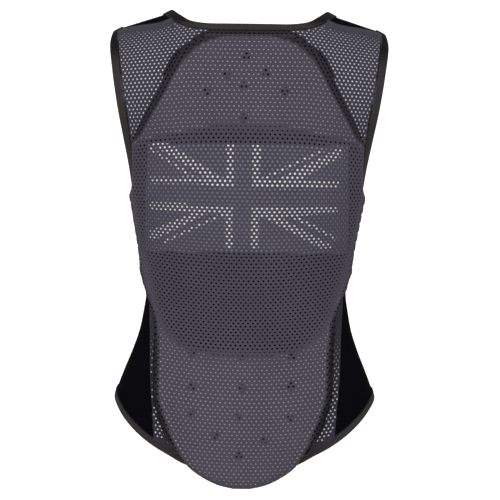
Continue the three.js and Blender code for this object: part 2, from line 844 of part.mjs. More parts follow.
function frontPlace(u, v) {
  const start = -shoulderWedge(mix(frontSeam, Math.PI, u));
  const distance = mix(start, distanceAt(frontFoot * bodyHeight), v);
  const angle = mix(frontSeam, Math.PI - frontTurn(zipHalfWidth + seamGap / 2, distance), u);
  return { angle, distance, inner: panelLift, outer: panelLift + panelThickness };
}

const openings = [neckPlug, armPlug, mirrored(armPlug), hemPlug];
const sidePanels = [1, -1].map((side) =>
  trimmed(shell(stops(4), stops(12), (u, v) => sidePlace(u, v, side)), openings),
);
const frontPanel = trimmed(shell(stops(6), stops(14), frontPlace), openings);

// Zip
function zipPlace(u, v) {
  const turn = mix(-1, 1, u);
  const distance = mix(distanceAt(zipTop * bodyHeight), distanceAt(frontFoot * bodyHeight), v);
  const teeth = Math.abs(turn) * zipHalfWidth < 1.5 * zipTeethHalfWidth ? zipTeethHeight : 0;
  const angle = Math.PI + turn * frontTurn(zipHalfWidth, distance);
  return { angle, distance, inner: panelLift, outer: panelLift + panelThickness + teeth };
}

const zip = trimmed(shell(stops(6), stops(11), zipPlace), openings);

// Colours
function colour(name, value, rough) {
  const material = new THREE.MeshStandardMaterial({ color: value, roughness: rough });
  material.name = name;
  return material;
}

const meshCloth = colour("mesh_cloth", 0x464250, 0.8);
const liningCloth = colour("lining_cloth", 0xd2d2dc, 0.9);
const backingCloth = colour("backing_cloth", 0x101014, 0.9);
const greyFoam = colour("grey_foam", 0x96928f, 0.9);
const blackFoam = colour("black_foam", 0x17171c, 0.9);
const flagCloth = colour("flag_cloth", 0x4a4a58, 0.8);
const stretchCloth = colour("stretch_cloth", 0x14131a, 0.5);
const bindingRib = colour("binding_rib", 0x302c2a, 0.8);
const zipTape = colour("zip_tape", 0x1a1a1c, 0.5);

const vest = new THREE.Group();
vest.name = "back_protector_vest";

function add(name, solid, material) {
  const mesh = solid.getMesh();
  const geometry = new THREE.BufferGeometry();
  geometry.setAttribute("position", new THREE.BufferAttribute(mesh.vertProperties, 3));
  geometry.setIndex(new THREE.BufferAttribute(mesh.triVerts, 1));
  geometry.computeVertexNormals();
  const piece = new THREE.Mesh(geometry, material);
  piece.name = name;
  vest.add(piece);
}

add("back_mesh", trimmed(meshLayer, openings.slice(0, 3)), meshCloth);
add("back_lining", trimmed(liningLayer, openings), liningCloth);
add("pad_backing", backing, backingCloth);
add("pad_main", trimmed(padBody, ventTools), greyFoam);
add("pad_centre", centreLayer, blackFoam);
add("flag_panel", flagLayer, flagCloth);
add("side_panel_right", sidePanels[0], stretchCloth);
add("side_panel_left", sidePanels[1], stretchCloth);
add("front_panel_right", frontPanel, stretchCloth);
add("front_panel_left", mirrored(frontPanel), stretchCloth);
add("front_zip", zip, zipTape);
add("neck_binding", neckBinding, bindingRib);
add("armhole_binding_right", armBinding, bindingRib);
add("armhole_binding_left", mirrored(armBinding), bindingRib);
add("hem_binding", hemBinding, bindingRib);

export default vest;
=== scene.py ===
# Back protector vest: a perforated mesh back over a long foam pad, stretch sides, ribbed bindings
import math
import bpy
import bmesh
import numpy as np
from mathutils import Matrix, Vector


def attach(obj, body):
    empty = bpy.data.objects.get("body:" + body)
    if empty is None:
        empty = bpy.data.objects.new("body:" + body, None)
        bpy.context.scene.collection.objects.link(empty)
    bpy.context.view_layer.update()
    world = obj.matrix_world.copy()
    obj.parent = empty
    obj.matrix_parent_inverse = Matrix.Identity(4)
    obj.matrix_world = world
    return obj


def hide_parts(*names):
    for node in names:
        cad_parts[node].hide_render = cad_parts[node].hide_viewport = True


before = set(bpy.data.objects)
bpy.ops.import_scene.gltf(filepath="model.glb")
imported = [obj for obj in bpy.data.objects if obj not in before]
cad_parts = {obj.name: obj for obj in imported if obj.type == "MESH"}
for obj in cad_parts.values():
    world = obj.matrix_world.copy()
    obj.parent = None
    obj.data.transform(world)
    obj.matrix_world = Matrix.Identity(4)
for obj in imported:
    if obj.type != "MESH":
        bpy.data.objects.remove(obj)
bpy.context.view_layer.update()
bpy.ops.object.select_all(action="DESELECT")


# camera, light and floor

view = {
    "distance": 4.0,        # from the camera to the middle of the vest
    "across": 0.0045,       # the camera stands a little to the right
    "height": -0.307,
    "frameHeight": 0.668,   # what the photograph shows at the middle of the vest
    "roll": -0.0135,        # the vest leans a little to the right
}

cameraData = bpy.data.cameras.new("camera")
camera = bpy.data.objects.new("camera", cameraData)
bpy.context.scene.collection.objects.link(camera)
camera.location = (view["across"], -view["distance"], view["height"])
camera.rotation_euler = (math.pi / 2, view["roll"], 0)
cameraData.sensor_width = 36
cameraData.lens = 36 * view["distance"] / view["frameHeight"]
cameraData.clip_end = 60
bpy.context.scene.camera = camera

studio = {
    "skyForCamera": 1.3,
    "skyForObject": 0.55,
    "keyPower": 62, "keySize": 2.2, "keyPlace": (-1.3, -3.2, 1.2),
    "fillPower": 34, "fillSize": 2.6, "fillPlace": (1.9, -3.0, 0.3),
    "floorHeight": -1.0,
}


def areaLight(name, place, power, size):
    data = bpy.data.lights.new(name, "AREA")
    data.energy = power
    data.size = size
    lamp = bpy.data.objects.new(name, data)
    lamp.location = place
    lamp.rotation_euler = (Vector((0, 0, -0.3)) - Vector(place)).to_track_quat("-Z", "Y").to_euler()
    bpy.context.scene.collection.objects.link(lamp)


areaLight("key", studio["keyPlace"], studio["keyPower"], studio["keySize"])
areaLight("fill", studio["fillPlace"], studio["fillPower"], studio["fillSize"])

world = bpy.data.worlds.new("studio")
world.use_nodes = True
bpy.context.scene.world = world
bpy.context.scene.view_settings.view_transform = "Standard"
skyNodes = world.node_tree
sky = skyNodes.nodes["Background"]
backdrop = skyNodes.nodes.new("ShaderNodeBackground")
chooser = skyNodes.nodes.new("ShaderNodeMixShader")
ray = skyNodes.nodes.new("ShaderNodeLightPath")
sky.inputs["Color"].default_value = (0.93, 0.95, 1, 1)
sky.inputs["Strength"].default_value = studio["skyForObject"]
backdrop.inputs["Color"].default_value = (1, 1, 1, 1)
backdrop.inputs["Strength"].default_value = studio["skyForCamera"]
skyNodes.links.new(ray.outputs["Is Camera Ray"], chooser.inputs["Fac"])
skyNodes.links.new(sky.outputs[0], chooser.inputs[1])
skyNodes.links.new(backdrop.outputs[0], chooser.inputs[2])
skyNodes.links.new(chooser.outputs[0], skyNodes.nodes["World Output"].inputs["Surface"])

bpy.ops.mesh.primitive_plane_add(size=5, location=(0, 0, studio["floorHeight"]))
floor = bpy.context.object
floor.name = "floor"
bpy.ops.object.transform_apply(location=True, rotation=True, scale=True)
floor.select_set(False)
floorMaterial = bpy.data.materials.new("pale_floor")
floorMaterial.use_nodes = True
floorNodes = floorMaterial.node_tree
grain = floorNodes.nodes.new("ShaderNodeTexNoise")
tone = floorNodes.nodes.new("ShaderNodeValToRGB")
floorCoords = floorNodes.nodes.new("ShaderNodeTexCoord")
grain.inputs["Scale"].default_value = 9
tone.color_ramp.elements[0].color = (0.84, 0.84, 0.83, 1)
tone.color_ramp.elements[1].color = (0.9, 0.9, 0.9, 1)
floorNodes.links.new(floorCoords.outputs["Object"], grain.inputs["Vector"])
floorNodes.links.new(grain.outputs["Fac"], tone.inputs["Fac"])
floorNodes.links.new(tone.outputs["Color"], floorNodes.nodes["Principled BSDF"].inputs["Base Color"])
floorNodes.nodes["Principled BSDF"].inputs["Roughness"].default_value = 0.85
floor.data.materials.append(floorMaterial)


# the wearer's form, as in the CAD: an angle from the middle of the back and a distance
# down from the shoulder line give a place on it

body = {
    "height": 0.640,
    "halfWidth": 0.156,     # at the chest
    "backDepth": 0.104,
    "frontDepth": 0.116,
    "roundness": 2.2,
    "roll": 0.110,          # height in which the cloth rolls over the shoulder
    "slopeReach": 0.240,
    "rise": 0.030,
}
# level as a share of the height, then half width, back depth and front depth as shares
sections = [
    (0, 1.32, 1, 0.82), (0.06, 1.36, 1, 0.86), (0.15, 1.3, 1, 0.92), (0.22, 1.17, 1.02, 0.96),
    (0.29, 1.025, 1.01, 1), (0.35, 0.96, 0.99, 1), (0.42, 0.9, 0.93, 0.96),
    (0.5, 0.846, 0.83, 0.9), (0.57, 0.84, 0.75, 0.84), (0.61, 0.862, 0.74, 0.83),
    (0.65, 0.895, 0.77, 0.83), (0.69, 0.95, 0.83, 0.84), (0.73, 1.016, 0.9, 0.84),
    (0.77, 1.075, 0.96, 0.84), (0.8, 1.095, 0.99, 0.83), (0.88, 1.12, 1.02, 0.8),
    (1.02, 1.11, 1.01, 0.78),
]
slope = [
    (0, 1), (0.33, 0.86), (0.5, 0.6), (0.65, 0.31), (0.74, 0.1), (0.87, -0.12), (1.03, -0.39),
    (1.1, -0.52), (1.3, -1.2), (1.5, -2),
]
sideSeam = [
    (0, 0.99), (0.35, 0.99), (0.5, 0.985), (0.57, 0.965), (0.62, 0.925), (0.65, 0.893),
    (0.7, 0.823), (0.74, 0.765), (0.78, 0.718), (0.84, 0.68), (0.9, 0.65), (1.02, 0.61),
]
rollLength = body["roll"] * math.pi / 2


def readTable(table, column, at):
    rows = np.array(table, float)
    keys, values = rows[:, 0], rows[:, column]
    rise = np.gradient(keys)
    rise[1:-1] = (values[2:] - values[:-2]) / (keys[2:] - keys[:-2])
    rise[0] = (values[1] - values[0]) / (keys[1] - keys[0])
    rise[-1] = (values[-1] - values[-2]) / (keys[-1] - keys[-2])
    at = np.clip(at, keys[0], keys[-1])
    i = np.clip(np.searchsorted(keys, at) - 1, 0, len(keys) - 2)
    span = keys[i + 1] - keys[i]
    t = (at - keys[i]) / span
    bend = values[i] + (values[i + 1] - values[i]) * t * t * (3 - 2 * t)
    return bend + span * t * (1 - t) * (rise[i] * (1 - t) - rise[i + 1] * t)


def smooth(t):
    t = np.clip(t, 0, 1)
    return t * t * (3 - 2 * t)


def mix(a, b, t):
    return a + (b - a) * t


def levelAt(distance):
    rolled = body["roll"] * (1 - np.cos(np.minimum(distance, rollLength) / body["roll"]))
    return np.where(distance < rollLength, rolled, body["roll"] + distance - rollLength)


def distanceAt(level):
    level = np.asarray(level, float)
    share = 1 - np.clip(level, 0, body["roll"]) / body["roll"]
    return np.where(level < body["roll"], body["roll"] * np.arccos(share), rollLength + level - body["roll"])


def slopeHeight(x):
    return body["rise"] * readTable(slope, 1, np.abs(x) / body["halfWidth"])


def halfWidthAt(level):
    return body["halfWidth"] * readTable(sections, 1, level / body["height"])


def form(angle, distance):
    # a distance under zero goes over the shoulder to the other side
    angle, distance = np.broadcast_arrays(np.asarray(angle, float), np.asarray(distance, float))
    over = distance < 0
    angle = np.where(over, np.sign(angle) * (math.pi - np.abs(angle)), angle)
    distance = np.abs(distance)
    level = levelAt(distance)
    share = level / body["height"]
    back = body["backDepth"] * readTable(sections, 2, share)
    front = body["frontDepth"] * readTable(sections, 3, share)
    depth = np.where(np.cos(angle) > 0, back, front)
    rolled = np.where(distance < rollLength, np.sin(np.minimum(distance, rollLength) / body["roll"]), 1)
    power = 2 / body["roundness"]
    x = halfWidthAt(level) * np.sign(np.sin(angle)) * np.abs(np.sin(angle)) ** power
    y = -np.sign(np.cos(angle)) * depth * rolled * np.abs(np.cos(angle)) ** power
    z = slopeHeight(x) * np.maximum(0, 1 - level / body["slopeReach"]) - level
    return np.stack([x, y, z], -1)


def normalOf(angle, distance):
    turn, step = 0.004, 0.0005
    across = form(angle + turn, distance) - form(angle - turn, distance)
    down = form(angle, distance + step) - form(angle, distance - step)
    normal = np.cross(down, across)
    return normal / np.linalg.norm(normal, axis=-1, keepdims=True)


def lifted(angle, distance, lift):
    return form(angle, distance) + normalOf(angle, distance) * np.asarray(lift)[..., None]


def placeOf(x, z, side):
    x, z = np.asarray(x, float), np.asarray(z, float)
    rise = slopeHeight(x)
    level = (rise - z) / (1 + rise / body["slopeReach"])
    level = np.where(level < body["slopeReach"], np.maximum(level, 0), -z)
    angle = angleOut(np.abs(x), level)
    turned = np.where(np.asarray(side) > 0, math.pi - angle, angle)
    return np.where(x < 0, -1, 1) * turned, distanceAt(level)


def angleOut(halfWidth, level):
    share = np.clip(halfWidth / halfWidthAt(level), 0, 1)
    return np.arcsin(share ** (body["roundness"] / 2))


def seamAngle(distance):
    share = readTable(sideSeam, 1, levelAt(distance) / body["height"])
    return np.arcsin(share ** (body["roundness"] / 2))


# layers over the form, and the outlines of what lies between them

layers = {
    "linings": (0.0012, 0.0022),
    "backing": (0.0042, 0.0052),
    "padBase": 0.0068,
    "padEdge": 0.004,
    "padRamp": 0.0045,
    "meshOverPad": 0.0198,   # the mesh's inner side over the pad
    "meshOverZone": 0.0225,  # and over the black middle zone
    "meshAtRest": 0.0027,
    "underMesh": 0.0006,     # gap between the mesh and what shows through it
    "meshLead": 0.003,
    "drape": 0.0095,
    "seamRamp": 0.013,       # the mesh leaves the armhole seam in this width
    "neckRamp": 0.020,       # and the neck and the shoulder seam in this one
    "padToArm": 0.008,
    "panels": (0.0005, 0.0021),
}
padOutline = [
    (0.0516, 0.31), (0.0625, 0.385), (0.081, 0.497), (0.116, 0.604), (0.1527, 0.686),
    (0.199, 0.787), (0.244, 0.88), (0.266, 0.93), (0.3, 0.95), (0.35, 0.94), (0.42, 0.88),
    (0.5, 0.81), (0.567, 0.745), (0.622, 0.685), (0.645, 0.674), (0.7, 0.667), (0.78, 0.663),
    (0.815, 0.626), (0.868, 0.545), (0.9, 0.482), (0.92, 0.43), (0.936, 0.345), (0.948, 0.257),
    (0.956, 0.172), (0.9615, 0.07),
]
zoneOutline = [
    (0.23, 0.25), (0.238, 0.46), (0.2455, 0.64), (0.2515, 0.77), (0.2575, 0.86), (0.28, 0.885),
    (0.32, 0.885), (0.42, 0.83),
    (0.5, 0.74), (0.56, 0.685), (0.62, 0.64), (0.655, 0.58), (0.68, 0.49), (0.693, 0.38),
    (0.699, 0.24),
]
# half width of the black backing above the waist, and how far it shows beyond the pad below
backingOutline = [
    (0.03, 0.3), (0.042, 0.42), (0.057, 0.493), (0.0755, 0.607), (0.086, 0.646), (0.1066, 0.688),
    (0.127, 0.713), (0.143, 0.727), (0.165, 0.775), (0.193, 0.82), (0.22, 0.85), (0.241, 0.9), (0.275, 0.97),
    (0.32, 0.96), (0.4, 0.9),
]
backingRim = [
    (0, 0), (0.3, 0.0025), (0.45, 0.0015), (0.55, 0.006), (0.65, 0.0125), (0.8, 0.0130), (0.87, 0.0125),
    (0.885, 0.007), (0.895, 0.001), (0.905, 0), (1, 0),
]
# half width of the pad's pale top inside its bevelled edge, where painted shade darkens the foam and the mesh over it
lightOutline = [
    (0.0505, 0.15), (0.0568, 0.225), (0.0643, 0.32), (0.0716, 0.385), (0.0786, 0.425), (0.086, 0.46),
    (0.0937, 0.497), (0.1014, 0.523), (0.1157, 0.567), (0.1305, 0.61), (0.1533, 0.657), (0.1689, 0.694),
    (0.191, 0.738), (0.2128, 0.78), (0.227, 0.812), (0.2465, 0.862), (0.262, 0.93), (0.29, 1.05), (0.97, 1.05),
]
neckStations = [  # side, free edge out and height, sewn edge out and height, as shares
    (1, 0.083, -0.1219, 0.083, -0.1406), (1, 0.3, -0.1, 0.34, -0.1172),
    (1, 0.5, -0.0563, 0.57, -0.0672), (1, 0.61, -0.0094, 0.69, -0.0172),
    (0, 0.655, 0, 0.74, 0), (-1, 0.58, 0.0008, 0.64, -0.0133), (-1, 0.49, -0.0125, 0.52, -0.0266),
    (-1, 0.36, -0.018, 0.37, -0.0328), (-1, 0.18, -0.0188, 0.18, -0.0344),
    (-1, 0, -0.0188, 0, -0.0344),
]
armStations = [
    (0, 1.155, 0, 1.075, 0), (-1, 1.175, -0.0594, 1.095, -0.0594), (-1, 1.15, -0.1094, 1.068, -0.1125),
    (-1, 1.1, -0.1844, 1.015, -0.1891), (-1, 1.046, -0.2469, 0.975, -0.2562),
    (-1, 1.002, -0.2969, 0.95, -0.3094), (-1, 0.98, -0.3328, 0.95, -0.35),
    (1, 0.98, -0.3391, 0.95, -0.3578), (1, 0.98, -0.2969, 0.92, -0.3109),
    (1, 0.985, -0.2344, 0.915, -0.2391), (1, 1.03, -0.1641, 0.95, -0.1656),
    (1, 1.1, -0.0969, 1.02, -0.0969), (1, 1.14, -0.0531, 1.06, -0.0531),
]
hemStations = [
    (0, -0.9313), (12, -0.9281), (22.3, -0.918), (31.2, -0.8984), (38.7, -0.8828),
    (46.7, -0.8648), (59.4, -0.8352), (73.7, -0.8047), (88, -0.7867), (100, -0.7797),
    (125, -0.7781), (150, -0.7812), (180, -0.7844),
]
hem = {"width": 0.0115, "tuck": 0.0022, "tongueHalfWidth": 0.080, "tongueMargin": 0.0018, "lean": -0.03}
shoulderSeam = {"atNeck": 0.052, "atArm": 0.026, "gap": 0.0012}
padShift = -0.0025


def outlineHalf(outline, level):
    share = np.clip(level / body["height"], outline[0][0], outline[-1][0])
    return body["halfWidth"] * readTable(outline, 1, share)


def armHalf(level):
    # half width left between the armhole seams; it opens out below them
    return body["halfWidth"] * readTable(armBand, 1, level / body["height"]) + 0.4 * np.maximum(0, level + armFoot)


def padHalf(level):
    inner = np.clip(level, padOutline[0][0] * body["height"], padOutline[-1][0] * body["height"])
    widest = np.minimum(0.94 * halfWidthAt(inner), armHalf(inner) - layers["padToArm"])
    return np.minimum(outlineHalf(padOutline, inner), widest)


def zoneHalf(level):
    return np.minimum(outlineHalf(zoneOutline, level), padHalf(level) - 0.004)


def padTurn(level):
    share = level / body["height"]
    return padShift / body["backDepth"] * (smooth((share - 0.3) / 0.4) - smooth((share - 0.88) / 0.07))


def insetIn(angle, distance, outline, halfWidth):
    # how deep a place lies inside an outline, under zero outside it
    level = -form(angle, distance)[..., 2]
    first, last = outline[0][0] * body["height"], outline[-1][0] * body["height"]
    within = np.clip(level, first, last)
    radius = 0.5 * (halfWidthAt(within) + body["backDepth"])
    side = (angleOut(halfWidth(within), within) - np.abs(angle - padTurn(level))) * radius
    return np.minimum(np.minimum(side, distanceAt(np.maximum(level, 0)) - distanceAt(first)), last - level)


def padInset(angle, distance):
    return insetIn(angle, distance, padOutline, padHalf)


def zoneInset(angle, distance):
    return insetIn(angle, distance, zoneOutline, zoneHalf)


def lightInset(angle, distance):
    return insetIn(angle, distance, lightOutline, lambda level: outlineHalf(lightOutline, level))


neckBand = sorted((out, height) for side, _, _, out, height in neckStations if side == -1)
armBand = [(-height, out) for side, _, _, out, height in armStations if side == -1]
armFoot = -armBand[-1][0] * body["height"]
neckBandEnd = neckBand[-1][0] * body["halfWidth"]


def seamLine(angle):
    out = np.abs(form(angle, 0.0)[..., 0]) / body["halfWidth"]
    return mix(shoulderSeam["atNeck"], shoulderSeam["atArm"], smooth((out - 0.7) / 0.45))


def backTop(angle, margin=0.005):
    x = np.abs(form(angle, seamLine(angle))[..., 0])
    seam = seamLine(angle) + shoulderSeam["gap"]
    height = body["height"] * readTable(neckBand, 1, x / body["halfWidth"])
    neck = placeOf(x, height, -1)[1] - margin
    return np.where(x > neckBandEnd, seam, np.maximum(seam, neck))


def hemDistance(angle, raised=0.0):
    height = body["height"] * readTable(hemStations, 1, np.degrees(np.abs(angle - hem["lean"])))
    return distanceAt(-height - raised)


def tongueDistance(x):
    above = np.full(np.shape(x), 0.8 * body["height"])
    below = np.full(np.shape(x), padOutline[-1][0] * body["height"])
    for _ in range(20):
        middle = (above + below) / 2
        inside = padHalf(middle) > np.abs(x)
        above, below = np.where(inside, middle, above), np.where(inside, below, middle)
    return distanceAt(below + hem["tongueMargin"])


def backBottom(angle, margin=0.0):
    foot = hemDistance(angle, hem["width"] - margin)
    x = form(angle - padTurn(levelAt(foot)), foot)[..., 0]
    tongue = np.maximum(tongueDistance(x), foot)
    return np.where(np.abs(x) < hem["tongueHalfWidth"], tongue, foot)


def armLimit(distance, margin):
    # the angle at which the armhole's sewn line cuts a row of the cloth
    angle = seamAngle(distance)
    for _ in range(8):
        z = form(angle, distance)[..., 2]
        out = body["halfWidth"] * readTable(armBand, 1, -z / body["height"]) + margin
        limit = angleOut(out, levelAt(distance))
        angle = np.where(z > armFoot - 0.004, np.minimum(limit, seamAngle(distance)), seamAngle(distance))
    return angle


def seamRoom(angle, distance):
    point = form(angle, distance)
    x = np.abs(point[..., 0])
    top = distance - backTop(angle, 0.005) - np.where(x < neckBandEnd, 0.005, 0)
    arm = armHalf(-point[..., 2]) - x
    return np.minimum(top * layers["seamRamp"] / layers["neckRamp"], arm)


def meshLift(angle, distance):
    rest = layers["meshAtRest"]
    level = levelAt(distance)
    room = (seamAngle(distance) - angleOut(padHalf(level), level)) * body["backDepth"]
    drape = np.clip(room - 0.001, 0.006, layers["drape"])
    lead = np.minimum(layers["meshLead"], 0.4 * drape)
    rise = smooth((padInset(angle, distance) + drape) / (drape - lead))
    rise = rise * smooth(seamRoom(angle, distance) / layers["seamRamp"])
    zone = smooth((zoneInset(angle, distance) + 0.016) / 0.030)
    over = layers["meshOverPad"] - 0.0016
    return rest + rise * (over - rest + zone * (layers["meshOverZone"] - layers["meshOverPad"]))


def curledLift(angle, distance, lift, foot=0.0055, width=0.010):
    # round the tongue and the hem the mesh turns in behind the pad
    edge = np.clip(1 - (backBottom(angle) - distance) / width, 0, 1)
    return foot + (lift - foot) * np.sqrt(1 - np.minimum(edge, 0.999) ** 2)


# materials


def newMaterial(name, rough, sheen=0.0, specular=0.3):
    material = bpy.data.materials.new(name)
    material.use_nodes = True
    shader = material.node_tree.nodes["Principled BSDF"]
    shader.inputs["Roughness"].default_value = rough
    shader.inputs["Sheen Weight"].default_value = sheen
    shader.inputs["Sheen Roughness"].default_value = 0.5
    shader.inputs["Specular IOR Level"].default_value = specular
    return material, material.node_tree, shader


def nodeOf(tree, kind, **settings):
    node = tree.nodes.new("ShaderNode" + kind)
    for key, value in settings.items():
        if key in node.inputs:
            node.inputs[key].default_value = value
        else:
            setattr(node, key, value)
    return node


def clothUv(tree, scale):
    uv = nodeOf(tree, "UVMap", uv_map="cloth")
    mapping = nodeOf(tree, "Mapping")
    mapping.inputs["Scale"].default_value = scale
    tree.links.new(uv.outputs["UV"], mapping.inputs["Vector"])
    return mapping.outputs["Vector"]


def ramp(tree, factor, stops):
    node = nodeOf(tree, "ValToRGB")
    elements = node.color_ramp.elements
    while len(elements) < len(stops):
        elements.new(0.5)
    for element, (place, colour) in zip(elements, stops):
        element.position = place
        element.color = (*colour, 1)
    tree.links.new(factor, node.inputs["Fac"])
    return node.outputs["Color"]


def addBump(tree, shader, height, strength, distance):
    bump = nodeOf(tree, "Bump", Strength=strength, Distance=distance)
    tree.links.new(height, bump.inputs["Height"])
    tree.links.new(bump.outputs["Normal"], shader.inputs["Normal"])
    return bump


def ribs(tree, across, down, grain=0.35):
    # rows of fine loops: two crossed waves over the cloth's own coordinates, and some grain
    wales = nodeOf(tree, "TexWave", wave_type="BANDS", bands_direction="X", Scale=1.0, Distortion=0.6)
    tree.links.new(clothUv(tree, (across, across * 0.3, 1)), wales.inputs["Vector"])
    courses = nodeOf(tree, "TexWave", wave_type="BANDS", bands_direction="Y", Scale=1.0, Distortion=0.6)
    tree.links.new(clothUv(tree, (down * 0.3, down, 1)), courses.inputs["Vector"])
    noise = nodeOf(tree, "TexNoise", Scale=1.0, Detail=3.0, Roughness=0.6)
    tree.links.new(clothUv(tree, (1400, 1400, 1)), noise.inputs["Vector"])
    both = nodeOf(tree, "Math", operation="ADD")
    tree.links.new(wales.outputs["Fac"], both.inputs[0])
    tree.links.new(courses.outputs["Fac"], both.inputs[1])
    grained = nodeOf(tree, "Math", operation="MULTIPLY_ADD")
    tree.links.new(noise.outputs["Fac"], grained.inputs[0])
    grained.inputs[1].default_value = grain * 2
    tree.links.new(both.outputs[0], grained.inputs[2])
    halved = nodeOf(tree, "Math", operation="MULTIPLY")
    halved.inputs[1].default_value = 1 / (2 + 2 * grain)
    tree.links.new(grained.outputs[0], halved.inputs[0])
    return halved.outputs[0]


def knitMaterial(name, dark, light, rough, sheen, across, down, bump, patch=0.0, specular=0.25, shaded=False):
    material, tree, shader = newMaterial(name, rough, sheen, specular)
    height = ribs(tree, across, down)
    cloth = ramp(tree, height, [(0.25, dark), (0.8, light)])
    if patch:
        # slow uneven shade over the whole cloth
        cloud = nodeOf(tree, "TexNoise", Scale=1.0, Detail=2.0)
        tree.links.new(clothUv(tree, (14, 10, 1)), cloud.inputs["Vector"])
        shade = ramp(tree, cloud.outputs["Fac"], [(0.3, (1 - patch,) * 3), (0.7, (1, 1, 1))])
        both = nodeOf(tree, "Mix", data_type="RGBA", blend_type="MULTIPLY")
        both.inputs["Factor"].default_value = 1
        tree.links.new(cloth, both.inputs[6])
        tree.links.new(shade, both.inputs[7])
        cloth = both.outputs[2]
    if shaded:
        # painted shade: the piece's 'shade' attribute darkens the cloth in folds and grooves and wherever else it lies
        # in shade
        mark = nodeOf(tree, "Attribute", attribute_name="shade")
        folded = nodeOf(tree, "Mix", data_type="RGBA", blend_type="MULTIPLY")
        folded.inputs["Factor"].default_value = 1
        tree.links.new(cloth, folded.inputs[6])
        tree.links.new(mark.outputs["Fac"], folded.inputs[7])
        cloth = folded.outputs[2]
    tree.links.new(cloth, shader.inputs["Base Color"])
    addBump(tree, shader, height, bump, 0.0003)
    return material


def foamMaterial(name, edgeAt, stops, specular=0.1):
    # foam whose shade follows the distance from the zone's edge, kept on the mesh as 'rim'; on the pad the dark end of
    # this is painted shade, along its bevelled edge and round its vents
    material, tree, shader = newMaterial(name, 0.95, 0.0, specular)
    rim = nodeOf(tree, "Attribute", attribute_name="rim")
    scaled = nodeOf(tree, "MapRange")
    scaled.inputs["From Min"].default_value = edgeAt[0]
    scaled.inputs["From Max"].default_value = edgeAt[1]
    tree.links.new(rim.outputs["Fac"], scaled.inputs["Value"])
    shade = ramp(tree, scaled.outputs["Result"], stops)
    tree.links.new(shade, shader.inputs["Base Color"])
    cells = nodeOf(tree, "TexVoronoi", Scale=1100.0)
    coords = nodeOf(tree, "TexCoord")
    tree.links.new(coords.outputs["Object"], cells.inputs["Vector"])
    addBump(tree, shader, cells.outputs["Distance"], 0.3, 0.0004)
    return material


meshKnit = knitMaterial("mesh_knit", (0.045, 0.039, 0.054), (0.082, 0.072, 0.097),
    0.75, 0.06, 1100, 900, 0.35, 0.14, 0.15, True)
liningKnit = knitMaterial("lining_knit", (0.64, 0.66, 0.74), (0.9, 0.92, 0.99),
    0.85, 0.1, 1300, 1300, 0.2, 0.0, 0.25, True)
backingKnit = knitMaterial("backing_knit", (0.0016, 0.0016, 0.0024), (0.004, 0.004, 0.0055),
    0.95, 0.0, 1300, 1300, 0.2, 0.0, 0.03)
stretchKnit = knitMaterial("stretch_knit", (0.0016, 0.0015, 0.0024), (0.0056, 0.0053, 0.0078),
    0.9, 0.0, 1500, 2200, 0.22, 0.25, 0.015)
rib = knitMaterial("binding_rib", (0.019, 0.0155, 0.0146), (0.060, 0.050, 0.047),
    0.8, 0.02, 2600, 900, 0.55, 0.2, 0.12, True)
zipTapeKnit = knitMaterial("zip_tape", (0.006, 0.006, 0.007), (0.02, 0.02, 0.021), 0.7, 0.05, 2600, 1300, 0.4)
thread = knitMaterial("thread", (0.012, 0.011, 0.011), (0.035, 0.032, 0.032), 0.6, 0.1, 3000, 3000, 0.3)
# painted shade: the pad's grey foam darkens to near black towards its rim
padFoam = foamMaterial("pad_foam", (-0.016, 0.002), [
    (0.0, (0.52, 0.49, 0.51)),
    (0.45, (0.38, 0.36, 0.38)),
    (0.85, (0.07, 0.065, 0.075)),
    (1.0, (0.02, 0.02, 0.024))])
zoneFoam = foamMaterial("zone_foam", (0.0, 0.006), [
    (0.0, (0.04, 0.038, 0.045)),
    (0.5, (0.01, 0.01, 0.012)),
    (1.0, (0.001, 0.001, 0.0016))], 0.0)


# helpers that build and finish a piece


def meshPiece(name, points, faces, uv=None, attributes=None):
    data = bpy.data.meshes.new(name)
    data.from_pydata([tuple(p) for p in points], [], faces)
    if uv is not None:
        layer = data.uv_layers.new(name="cloth")
        corner = np.empty(len(data.loops), np.int32)
        data.loops.foreach_get("vertex_index", corner)
        layer.data.foreach_set("uv", np.asarray(uv, np.float32)[corner].ravel())
    for key, values in (attributes or {}).items():
        attribute = data.attributes.new(key, "FLOAT", "POINT")
        attribute.data.foreach_set("value", np.asarray(values, np.float32))
    data.validate()
    data.update()
    piece = bpy.data.objects.new(name, data)
    bpy.context.scene.collection.objects.link(piece)
    return piece


def activate(piece):
    bpy.ops.object.select_all(action="DESELECT")
    piece.select_set(True)
    bpy.context.view_layer.objects.active = piece


def outwards(piece):
    activate(piece)
    bpy.ops.object.mode_set(mode="EDIT")
    bpy.ops.mesh.select_all(action="SELECT")
    bpy.ops.mesh.normals_make_consistent(inside=False)
    bpy.ops.object.mode_set(mode="OBJECT")


def finishPiece(piece, material, node=None, angle=40):
    activate(piece)
    piece.data.materials.clear()
    piece.data.materials.append(material)
    bpy.ops.object.shade_smooth_by_angle(angle=math.radians(angle))
    piece.select_set(False)
    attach(piece, "root")
    if node:
        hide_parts(node)
    return piece


def gridFaces(rows, columns, offset=0, flip=False):
    faces = []
    for j in range(rows - 1):
        for i in range(columns - 1):
            a = offset + j * columns + i
            quad = (a, a + 1, a + columns + 1, a + columns)
            faces.append(quad[::-1] if flip else quad)
    return faces


